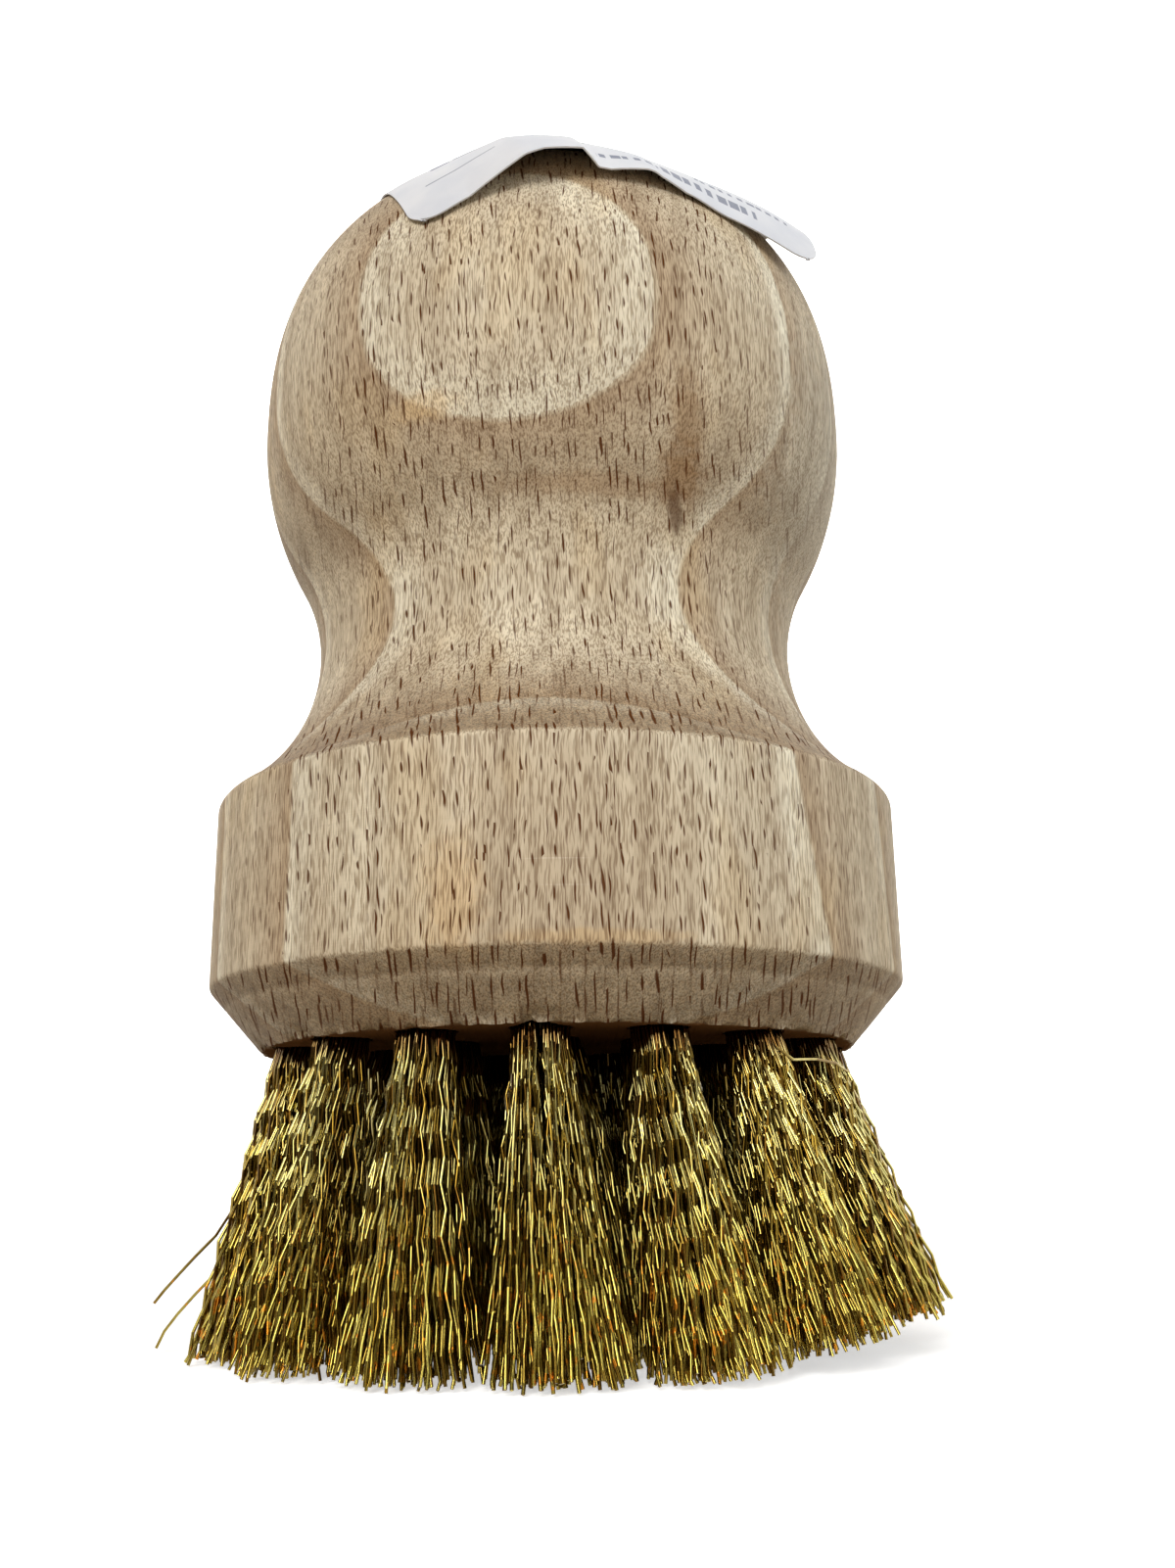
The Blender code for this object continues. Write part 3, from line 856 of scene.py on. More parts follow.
@dataclass(frozen=True)
class Turning:
    """The turned outline of the handle, as points of radius and height."""

    base_z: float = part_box("handle")[0].z
    collar_radius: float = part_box("handle")[1].x
    collar_height: float = 15.5 * MM
    chamfer_height: float = 5.1 * MM
    chamfer_width: float = 4.5 * MM
    hollow_radius: float = 17.1 * MM
    waist_radius: float = 21.7 * MM
    knob_radius: float = 27.4 * MM
    crown_height: float = 25.7 * MM
    crown_fullness: float = 2.5
    edge_round: float = 0.8 * MM
    edge_steps: int = 4
    rim_width: float = 0.35 * MM
    tool_ring_depth: float = 0.05 * MM
    tool_ring_width: float = 0.5 * MM
    tool_ring_share: float = 0.66
    spacing: float = 0.9 * MM

    @property
    def underside_edge(self) -> Vector:
        """Edge of the flat underside."""
        return Vector((self.collar_radius - self.chamfer_width, self.base_z))

    @property
    def chamfer_top(self) -> Vector:
        """Edge between chamfer and collar."""
        return Vector((self.collar_radius, self.base_z + self.chamfer_height))

    @property
    def collar_top(self) -> Vector:
        """The collar's upper edge."""
        return self.chamfer_top + Vector((0, self.collar_height))

    @property
    def hollow_centre(self) -> Vector:
        """Centre of the hollow's arc.

        Returns:
            The centre, beside the waist.
        """
        across = self.waist_radius + self.hollow_radius
        rise = math.sqrt(self.hollow_radius**2 - (across - self.collar_radius) ** 2)
        return Vector((across, self.collar_top.y + rise))

    @property
    def knob_centre(self) -> Vector:
        """Centre of the knob."""
        across, hollow_z = self.hollow_centre
        return Vector((0.0, hollow_z + math.sqrt((self.knob_radius + self.hollow_radius) ** 2 - across**2)))

    def crown_distance(self, elevation: float) -> float:
        """Distance from the knob's centre to the crown.

        Args:
            elevation: Angle above the knob's equator.

        Returns:
            The distance.
        """
        across = (math.cos(elevation) / self.knob_radius) ** self.crown_fullness
        upward = (math.sin(elevation) / self.crown_height) ** self.crown_fullness
        return (across + upward) ** (-1 / self.crown_fullness)

    def arc(self, centre: Vector, radius: float, start: float, end: float) -> list[Vector]:
        """Points of an arc after its first one.

        Args:
            centre: The arc's centre.
            radius: Its radius.
            start: Its first angle.
            end: Its last angle.

        Returns:
            The points, about one spacing apart.
        """
        steps = max(3, round(abs(end - start) * radius / self.spacing))
        angles = [start + (end - start) * step / steps for step in range(1, steps + 1)]
        return [centre + Vector((math.cos(angle), math.sin(angle))) * radius for angle in angles]

    def straight(self, start: Vector, end: Vector) -> list[Vector]:
        """Points of a line after its first one, about one spacing apart."""
        steps = max(1, round((end - start).length / self.spacing))
        return [start.lerp(end, step / steps) for step in range(1, steps + 1)]

    def rounded(self, before: Vector, corner: Vector, after: Vector) -> list[Vector]:
        """Points of a small arc that rounds a corner.

        Args:
            before: A point before the corner.
            corner: The corner.
            after: A point after it.

        Returns:
            The arc's points.
        """
        back = (before - corner).normalized()
        ahead = (after - corner).normalized()
        half = back.angle(ahead) / 2
        reach = self.edge_round / math.tan(half)
        centre = corner + (back + ahead).normalized() * (self.edge_round / math.sin(half))
        first = (corner + back * reach - centre).normalized()
        last = (corner + ahead * reach - centre).normalized()
        turns = [first.slerp(last, step / self.edge_steps) for step in range(self.edge_steps + 1)]
        return [centre + turn * self.edge_round for turn in turns]

    def chamfer(self) -> list[Vector]:
        """The chamfer from the underside up, with one faint ring left by the tool.

        Returns:
            The points between the underside's edge and the collar.
        """
        edge = self.underside_edge
        slope = (self.chamfer_top - edge).normalized()
        inwards = Vector((-slope.y, slope.x))
        ring = edge.lerp(self.chamfer_top, self.tool_ring_share)
        after = ring + slope * self.tool_ring_width
        groove = ring + inwards * self.tool_ring_depth + slope * 0.4 * self.tool_ring_width
        rim = edge + slope * self.rim_width
        end = self.chamfer_top - slope * 0.8 * self.edge_round
        return [edge, rim, *self.straight(rim, ring), groove, after, *self.straight(after, end)]

    def crown(self) -> list[Vector]:
        """The knob's top, from above its equator up to the axis.

        Returns:
            The points.
        """
        steps = 2 * round(self.knob_radius / self.spacing)
        points = []
        for step in range(1, steps):
            elevation = math.pi / 2 * step / steps
            direction = Vector((math.cos(elevation), math.sin(elevation)))
            points.append(self.knob_centre + direction * self.crown_distance(elevation))
        return [*points, self.knob_centre + Vector((0, self.crown_height))]

    def outline(self) -> list[Vector]:
        """The whole outline from the middle of the underside up to the top.

        Returns:
            The points.
        """
        bottom = Vector((0, self.base_z))
        to_collar = self.collar_top - self.hollow_centre
        to_knob = self.knob_centre - self.hollow_centre
        collar_angle = math.atan2(to_collar.y, to_collar.x) + FULL_TURN
        knob_angle = math.atan2(to_knob.y, to_knob.x)
        hollow = self.arc(self.hollow_centre, self.hollow_radius, collar_angle, knob_angle)
        ball = self.arc(self.knob_centre, self.knob_radius, knob_angle - math.pi, 0.0)
        lower = self.rounded(self.underside_edge, self.chamfer_top, self.collar_top)
        upper = self.rounded(self.chamfer_top, self.collar_top, hollow[0])
        middle = self.straight(lower[-1], upper[0])[:-1]
        underside = self.straight(bottom, self.underside_edge - Vector((self.rim_width, 0)))
        body = [*lower, *middle, *upper, *hollow, *ball]
        return [bottom, *underside, *self.chamfer(), *body, *self.crown()]


@dataclass(frozen=True)
class TuftLayout:
    """Where the tufts stand, how they lean and how far their tips spread."""

    turning: Turning
    inner_radius: float = 5.7 * MM
    rim_margin: float = 0.6 * MM
    outer_lean: float = math.radians(11.7)
    bore_radius: float = 2.4 * MM
    bore_depth: float = 10.0 * MM
    tip_gap: float = 0.5 * MM

    @property
    def outer_radius(self) -> float:
        """Radius of the outer ring at the underside."""
        return self.turning.underside_edge.x - self.rim_margin - self.bore_radius

    def radius(self, ring: Ring) -> float:
        """Radius of a ring's bores at the underside."""
        share = list(Ring).index(ring) / (len(Ring) - 1)
        return self.outer_radius + (self.inner_radius - self.outer_radius) * share

    def lean(self, ring: Ring) -> float:
        """Lean of a ring's tufts away from upright."""
        return math.atan(math.tan(self.outer_lean) * self.radius(ring) / self.outer_radius)

    def tip_radius(self, ring: Ring) -> float:
        """Radius of the circle of a ring's tip middles."""
        return self.radius(ring) + self.turning.base_z * math.tan(self.lean(ring))

    def spread(self) -> float:
        """How far a tuft's tips reach from their middle, clear of the neighbouring tufts.

        Returns:
            The distance.
        """
        rings = list(Ring)
        gaps = [self.tip_radius(ring) - self.tip_radius(after) for ring, after in zip(rings, rings[1:])]
        gaps += [2 * self.tip_radius(ring) * math.sin(math.pi / len(ring.tufts())) for ring in rings]
        return (min(gaps) - self.tip_gap) / 2

    def mouth(self, ring: Ring, number: int) -> Matrix:
        """Where a tuft stands: its bore's mouth, with local +X away from the axis.

        Args:
            ring: The tuft's ring.
            number: Its number in the ring, from 0 at the front.

        Returns:
            The place.
        """
        bearing = -math.pi / 2 + FULL_TURN * number / len(ring.tufts())
        turn = Matrix.Rotation(bearing, 4, "Z")
        return turn @ Matrix.Translation((self.radius(ring), 0, self.turning.base_z))


@dataclass
class BeechHandle:
    """The turned handle, drilled from below, with its rim chipped where bores come near it."""

    turning: Turning
    layout: TuftLayout
    finish: BeechFinish
    steps: int = 360
    bore_steps: int = 24
    chip_depth: float = 0.5 * MM
    chip_reach: float = 1.0 * MM
    chip_base: float = 0.25
    chip_grain: float = 0.8 / MM
    fine_chip_share: float = 0.8
    fine_chip_grain: float = 2.1 / MM
    crease: float = 38.0

    def build(self) -> bpy.types.Object:
        """Spins, chips and drills the handle and dresses it.

        Returns:
            The piece, which stands for the CAD handle.
        """
        bm = bmesh.new()
        outline = [Vector((point.x, 0, point.y)) for point in self.turning.outline()]
        spin(bm, outline, FULL_TURN, self.steps)
        self.chip_rim(bm)
        piece = link_piece("beech_handle", mesh_from(bm, "beech_handle"), Slot.WOOD, "handle")
        cutter = self.bore_cutter()
        cut = piece.modifiers.new("bores", "BOOLEAN")
        cut.operation = "DIFFERENCE"
        cut.solver = "EXACT"
        cut.object = cutter
        finish_piece(piece, self.finish.material("beech"), self.crease)
        bpy.data.objects.remove(cutter)
        return piece

    def chip_rim(self, bm: bmesh.types.BMesh) -> None:
        """Breaks the edge of the underside unevenly, most beside the outer bores.

        Args:
            bm: The spun handle.
        """
        edge = self.turning.underside_edge
        bores = len(Ring.OUTER.tufts())
        for vert in bm.verts:
            radius = math.hypot(vert.co.x, vert.co.y)
            near = 1 - abs(radius - edge.x) / self.chip_reach
            if vert.co.z - edge.y > self.chip_reach or near <= 0:
                continue
            bearing = math.atan2(vert.co.y, vert.co.x) + math.pi / 2
            beside = 0.5 + 0.5 * math.cos(bores * bearing)
            rough = self.chip_base + noise.noise(vert.co * self.chip_grain)
            rough += self.fine_chip_share * noise.noise(vert.co * self.fine_chip_grain)
            depth = self.chip_depth * max(0.0, rough) * (0.5 + 0.5 * beside) * near
            vert.co.z += depth
            vert.co.x -= vert.co.x / radius * depth / 2
            vert.co.y -= vert.co.y / radius * depth / 2

    def bore_cutter(self) -> bpy.types.Object:
        """A helper object that holds every bore.

        Returns:
            The helper.
        """
        bm = bmesh.new()
        depth = self.layout.bore_depth
        for ring in Ring:
            into = Matrix.Rotation(-self.layout.lean(ring), 4, "Y") @ Matrix.Translation(TOP * depth / 4)
            for number in range(len(ring.tufts())):
                bmesh.ops.create_cone(
                    bm,
                    cap_ends=True,
                    segments=self.bore_steps,
                    radius1=self.layout.bore_radius,
                    radius2=self.layout.bore_radius,
                    depth=1.5 * depth,
                    matrix=self.layout.mouth(ring, number) @ into,
                )
        return add_object("bore_cutter", mesh_from(bm, "bore_cutter"))


@dataclass(frozen=True)
class Crimp:
    """How the wires of half a tuft are crimped."""

    phase: float
    length: float
    plane: float
    looseness: float


@dataclass(frozen=True)
class TuftLook:
    """Which halves of a tuft are crimped in step, and its bent stray wires, in millimetres."""

    in_step: tuple[int, ...] = (1,)
    bent_wires: tuple[tuple[Point, ...], ...] = ()


@dataclass
class WireTuft:
    """One tuft: crimped wires folded over an anchor, so that they hang in two halves.

    A scatter is the standard deviation of a random draw.
    """

    # Face attribute of each wire's random tone, with painted shade on runs that turn in and painted
    # highlight on runs that turn out.
    TONE_AND_SHADE = "wire_tone_and_shade"
    TONE_LOW = 0.24
    TONE_RANGE = 0.52
    KINK_SHADE = 0.2
    SIDES = 4
    KINK_SLOPE = 0.18
    REACH = 1.055

    layout: TuftLayout
    ring: Ring
    number: int
    legs: int
    wire_radius: float = 0.135 * MM
    half_wave: float = 1.68 * MM
    half_wave_scatter: float = 0.04
    swing: float = 0.185 * MM
    swing_scatter: float = 0.12
    plane_scatter: float = math.radians(9)
    own_plane_scatter: float = math.radians(20)
    odd_share: float = 0.22
    odd_scatter: float = 1.2
    in_step_looseness: tuple[float, float] = (1.5, 2.5)
    free_looseness: tuple[float, float] = (4.0, 9.0)
    length_scatter: float = 0.02
    phase_scatter: float = 0.1
    root_reach: float = 2.1 * MM
    root_scatter: float = 0.12
    root_hold: float = 0.14
    gap_width: float = 1.9
    row_pitch: float = 0.9
    row_stagger: float = 0.25
    swing_fade: float = 0.25
    swing_onset: float = 0.05
    kink_onset: float = 0.3
    tip_share: float = 0.97
    tip_overlap: float = 1.17
    tip_scatter: float = 0.34 * MM
    bulge_scatter: float = 0.16 * MM
    kink_scatter: float = 0.045 * MM
    half_gaps: tuple[float, float] = (0.12 * MM, 0.6 * MM)
    in_bore: float = 7.6 * MM
    straight_in_bore: float = 0.9 * MM
    first_kink: float = 0.2 * MM
    # Scale of each wire's random tone: at 1 it is tarnish; below 1, as in the inner rings, the wires are
    # painted paler for glints in the shaded gaps.
    tarnish_and_painted_glint: float = 1.0
    stray_share: float = 0.05
    stray_scatter: float = 1.4 * MM
    stray_reach: float = 1.5 * MM
    early_spread: float = 1.0
    lean_aside: float = 1.6 * MM
    lean_bend: float = 1.2
    cut_scatter: float = 0.52 * MM
    short_share: float = 0.14
    short_reach: float = 1.8 * MM
    trim_gap: float = 0.12 * MM
    trim_right: float = 3.0 * MM
    trim_range: tuple[float, float] = (10 * MM, 34 * MM)
    end_gap: float = 0.25 * MM
    limit: float = CAD_BOX[1].x * REACH
    looks: dict[int, TuftLook] = field(default_factory=dict)
    look: TuftLook = field(init=False)
    half_gap: float = field(init=False)
    rng: np.random.Generator = field(init=False)

    def __post_init__(self) -> None:
        """Picks the tuft's look and seeds its own random draws."""
        self.look = self.looks.get(self.number, TuftLook())
        self.rng = np.random.default_rng(1000 * (list(Ring).index(self.ring) + 1) + self.number)
        self.half_gap = self.rng.uniform(*self.half_gaps)

    def build(self, material: bpy.types.Material) -> bpy.types.Object:
        """Draws every wire and dresses the tuft.

        Args:
            material: The brass.

        Returns:
            The piece, which stands for the CAD tuft.
        """
        node = self.ring.tufts()[self.number]
        wires = [np.array(points) * MM for points in self.look.bent_wires]
        for side in (-1, 1):
            wires += self.half_tuft(side)
        tones = self.rng.random(len(wires)) * self.tarnish_and_painted_glint
        mesh = wire_mesh(f"{node}_wires", wires, self.wire_radius, tones)
        mesh.materials.append(material)
        return link_piece(f"{node}_wires", mesh, Slot.WIRE, node)

    def root_spots(self, side: int) -> list[Vector]:
        """Evenly packed places of one half's wires at the mouth.

        Args:
            side: -1 or 1, across the anchor.

        Returns:
            The places, as offsets from the bore's middle.
        """
        area = math.pi * self.root_reach**2 / 2 - self.gap_width * self.root_reach * self.half_gap
        pitch = math.sqrt(area / (self.legs // 2))
        stagger = self.row_stagger
        spots = []
        row = 0
        depth = self.half_gap
        while depth < self.root_reach:
            half_chord = math.sqrt(self.root_reach**2 - depth**2)
            count = max(1, int(2 * half_chord / pitch))
            for place in range(count):
                share = (place + 0.5 + stagger * (row % 2)) / (count + stagger)
                across = share * 2 * half_chord - half_chord
                jitter = self.rng.normal(0, self.root_scatter * pitch, 2)
                spots.append(Vector((across + jitter[0], side * (depth + jitter[1]))))
            depth += pitch * self.row_pitch
            row += 1
        return spots

    def half_tuft(self, side: int) -> list[np.ndarray]:
        """The wires of one half.

        Args:
            side: -1 or 1, across the anchor.

        Returns:
            The points of each wire.
        """
        rng = self.rng
        looseness = self.in_step_looseness if side in self.look.in_step else self.free_looseness
        crimp = Crimp(
            phase=rng.uniform(0, 2),
            length=self.half_wave * rng.normal(1, self.half_wave_scatter),
            plane=rng.normal(0, self.plane_scatter),
            looseness=rng.uniform(*looseness),
        )
        return [self.leg(spot, side, crimp) for spot in self.root_spots(side)]

    def tip(self, spot: Vector, side: int) -> Vector:
        """Where a wire's tip lies from the middle of its tuft's tips.

        Args:
            spot: The wire's place at the mouth.
            side: Its half of the tuft.

        Returns:
            The offset.
        """
        reach = self.layout.spread() * self.tip_share
        from_gap = (side * spot.y - self.half_gap) / (self.root_reach - self.half_gap)
        tip = Vector((spot.x * reach / self.root_reach, side * from_gap * reach * self.tip_overlap))
        tip += Vector(self.rng.normal(0, self.tip_scatter, 2))
        if self.rng.random() < self.stray_share:
            stray = self.rng.normal(0, self.stray_scatter, 2)
            tip += Vector(np.clip(stray, -self.stray_reach, self.stray_reach))
        return tip

    def leg(self, spot: Vector, side: int, crimp: Crimp) -> np.ndarray:
        """One wire from beside the anchor down to its cut tip.

        Args:
            spot: Its place at the mouth.
            side: Its half of the tuft.
            crimp: The crimps of that half.

        Returns:
            Its points in the brush's frame.
        """
        rng = self.rng
        drop = self.layout.turning.base_z
        tip = self.tip(spot, side)
        bulge = Vector(rng.normal(0, self.bulge_scatter, 2))
        plane = crimp.plane + rng.normal(0, self.own_plane_scatter)
        plane += (rng.random() < self.odd_share) * rng.normal(0, self.odd_scatter)
        length = crimp.length * rng.normal(1, self.length_scatter * min(crimp.looseness, 3.0))
        start = (crimp.phase + rng.normal(0, self.phase_scatter * crimp.looseness)) % 2
        cut = abs(rng.normal(0, self.cut_scatter))
        cut += (rng.random() < self.short_share) * rng.random() * self.short_reach
        swing = Vector((math.cos(plane), math.sin(plane))) * self.swing * rng.normal(1, self.swing_scatter)
        way = -1 if start < 1 else 1

        heights = [self.in_bore, self.straight_in_bore]
        kink = -self.first_kink - start % 1 * length
        while kink > -drop:
            heights.append(kink)
            kink -= length
        lean = math.tan(self.layout.lean(self.ring))
        place = self.layout.mouth(self.ring, self.number)
        points = []
        for height in [*heights, -drop]:
            share = max(0.0, -height / drop)
            at = spot.lerp(tip, share**self.early_spread * (1 - self.root_hold * (1 - share)))
            at += Vector((-height * lean, 0)) + bulge * math.sin(math.pi * share)
            at += swing * smooth(share, 0.0, self.swing_onset) * (1 - self.swing_fade * share) * way
            at += Vector(rng.normal(0, self.kink_scatter, 2)) * smooth(share, 0.0, self.kink_onset)
            points.append(place @ Vector((at.x, at.y, height)))
            way = -way
        return self.trimmed(points, cut)

    def trimmed(self, points: list[Vector], cut: float) -> np.ndarray:
        """Leans a wire aside as the whole brush does, and cuts its end at the trimming plane.

        Args:
            points: The wire's points.
            cut: How far above the plane this wire ends.

        Returns:
            Its points up to the cut.
        """
        for point in points:
            share = max(0.0, 1 - point.z / self.layout.turning.base_z)
            point.x += self.lean_aside * share**self.lean_bend
            point.x = min(max(point.x, -self.limit), self.limit)
            point.y = min(max(point.y, -self.limit), self.limit)
        floor = cut + self.trim_gap + self.trim_right * smooth(points[-1].x, *self.trim_range)
        kept = [point for point in points if point.z > floor + self.end_gap]
        last = kept[-1]
        following = points[len(kept)]
        share = (last.z - floor) / max(last.z - following.z, 1e-6)
        kept.append(last.lerp(following, min(share, 1.0)))
        return np.array([tuple(point) for point in kept])


RIGHT_STRAY = (
    (16.6, -18.2, 25.0),
    (17.4, -19.0, 22.6),
    (18.6, -18.6, 21.7),
    (20.6, -16.2, 21.9),
    (22.4, -13.4, 21.8),
    (23.6, -11.4, 21.2),
    (23.9, -11.6, 20.5),
    (23.8, -12.0, 19.7),
)
UPPER_LEFT_STRAY = (
    (-26.4, -3.4, 13.4),
    (-27.5, -3.2, 11.0),
    (-28.7, -3.0, 9.2),
    (-30.4, -3.0, 7.5),
    (-31.8, -3.0, 6.0),
    (-32.8, -3.0, 4.9),
    (-33.6, -3.0, 3.9),
)
LOWER_LEFT_STRAY = (
    (-27.2, -3.8, 8.2),
    (-28.6, -3.4, 6.1),
    (-30.2, -3.2, 4.5),
    (-31.6, -3.0, 3.0),
    (-32.6, -3.0, 1.7),
    (-33.2, -3.0, 0.4),
)
SEEN_TUFTS = {
    0: TuftLook(in_step=()),
    1: TuftLook(in_step=(-1,)),
    2: TuftLook(in_step=(), bent_wires=(RIGHT_STRAY,)),
    3: TuftLook(in_step=()),
    12: TuftLook(in_step=(-1, 1), bent_wires=(UPPER_LEFT_STRAY, LOWER_LEFT_STRAY)),
    13: TuftLook(in_step=(-1, 1)),
    14: TuftLook(in_step=(-1, 1)),
    15: TuftLook(in_step=(-1, 1)),
}
OUTER_TUFT = {"legs": 190, "tip_overlap": 1.14, "early_spread": 1.14, "looks": SEEN_TUFTS}
INSIDE_TUFT = {
    "legs": 170,
    "root_reach": 2.25 * MM,
    "stray_share": 0.25,
    "early_spread": 0.6,
    # Painted light: inner-ring wires get paler tones, for glints in the shaded gaps between the outer tufts.
    "tarnish_and_painted_glint": 0.55,
}
RING_SETTINGS = {Ring.OUTER: OUTER_TUFT, Ring.MIDDLE: INSIDE_TUFT, Ring.INNER: INSIDE_TUFT}


def wire_mesh(name: str, wires: list[np.ndarray], radius: float, tones: np.ndarray) -> bpy.types.Mesh:
    """Wires as closed square tubes, each with its own tone, with painted shade and highlight on its runs
    between kinks, and with its kinks kept crisp.

    Args:
        name: The mesh's name.
        wires: The points of each wire.
        radius: The wires' radius.
        tones: A tone from 0 to 1 for each wire.

    Returns:
        The mesh.
    """
    curve = bpy.data.curves.new(name, "CURVE")
    curve.dimensions = "3D"
    curve.bevel_depth = radius
    curve.bevel_resolution = 0
    curve.use_fill_caps = True
    for points in wires:
        spline = curve.splines.new("POLY")
        spline.points.add(len(points) - 1)
        spline.points.foreach_set("co", np.insert(points, 3, 1.0, axis=1).ravel())
    helper = add_object(name, curve)
    mesh = evaluated_mesh(helper)
    bpy.data.objects.remove(helper)
    bpy.data.curves.remove(curve)
    mesh.name = name
    mesh.materials.clear()
    keep_kinks_crisp(mesh)

    caps = 2
    counts = np.array([len(points) + caps for points in wires])
    if counts.sum() * WireTuft.SIDES != len(mesh.vertices):
        raise ValueError(f"{name} has {len(mesh.vertices)} vertices, not {counts.sum() * WireTuft.SIDES}")
    attribute = mesh.attributes.new(WireTuft.TONE_AND_SHADE, "FLOAT", "FACE")
    attribute.data.foreach_set("value", shaded_face_tones(mesh, counts, tones))
    bm = bmesh.new()
    bm.from_mesh(mesh)
    bmesh.ops.remove_doubles(bm, verts=bm.verts, dist=WIRE_MERGE_DISTANCE)
    bmesh.ops.recalc_face_normals(bm, faces=bm.faces)
    bm.to_mesh(mesh)
    bm.free()
    return mesh


def read_values(items: bpy.types.bpy_prop_collection, name: str, size: int, kind: type) -> np.ndarray:
    """One property of every item of a mesh.

    Args:
        items: The mesh's vertices, edges, loops or faces.
        name: The property.
        size: How many numbers it has.
        kind: Their kind.

    Returns:
        The numbers in one row.
    """
    values = np.zeros(len(items) * size, kind)
    items.foreach_get(name, values)
    return values


def shaded_face_tones(mesh: bpy.types.Mesh, counts: np.ndarray, tones: np.ndarray) -> np.ndarray:
    """A tone for each face, with painted shade and highlight: darker on the runs between kinks that turn in
    under the brush, lighter on those that turn out.

    Args:
        mesh: Tubes whose vertices come in rings of four.
        counts: The number of rings of each wire.
        tones: A tone from 0 to 1 for each wire.

    Returns:
        The tones, from 0 to 1.
    """
    places = read_values(mesh.vertices, "co", 3, float)
    centres = places.reshape(-1, WireTuft.SIDES, 3).mean(axis=1)
    corners = read_values(mesh.loops, "vertex_index", 1, np.int64)
    starts = read_values(mesh.polygons, "loop_start", 1, np.int64)
    near = corners[starts] // WireTuft.SIDES
    upper = centres[near]
    lower = centres[corners[starts + 2] // WireTuft.SIDES]
    wire = np.repeat(np.arange(len(counts)), counts)[near]
    middle = (upper + lower)[:, :2]
    outward = middle / np.linalg.norm(middle, axis=1)[:, None]
    along = ((lower - upper)[:, :2] * outward).sum(axis=1)
    down = (upper - lower)[:, 2]
    run = np.abs(down)
    slope = along / np.where(run > 0, down, 1.0)
    usual = np.bincount(wire, slope * run) / np.bincount(wire, run)
    # Painted shade and highlight: runs that turn in under the brush get a darker tone, runs that turn out a
    # lighter one.
    turned_shade = np.where(run > 0, np.clip((slope - usual[wire]) / WireTuft.KINK_SLOPE, -1, 1), 0.0)
    own = tones[wire] * WireTuft.TONE_RANGE + WireTuft.TONE_LOW
    return (own - WireTuft.KINK_SHADE * turned_shade).astype(np.float32)


def keep_kinks_crisp(mesh: bpy.types.Mesh) -> None:
    """Shades tubes smooth round their section and crisp at each ring of points.

    Args:
        mesh: Tubes whose vertices come in rings of four.
    """
    mesh.shade_smooth()
    rings = read_values(mesh.edges, "vertices", 2, np.int64).reshape(-1, 2) // WireTuft.SIDES
    sharp = mesh.attributes.get("sharp_edge") or mesh.attributes.new("sharp_edge", "BOOLEAN", "EDGE")
    sharp.data.foreach_set("value", rings[:, 0] == rings[:, 1])


@dataclass(frozen=True)
class Pleat:
    """A place where the label's front edge stands off the knob, along the label's length."""

    start: float
    crest_start: float
    crest_end: float
    end: float
    height: float

    def rise(self, along: float) -> float:
        """Height of the pleat there.

        Args:
            along: Place along the length.

        Returns:
            The height.
        """
        rising = (along - self.start) / (self.crest_start - self.start)
        falling = (self.end - along) / (self.end - self.crest_end)
        return self.height * min(max(min(rising, falling), 0.0), 1.0)


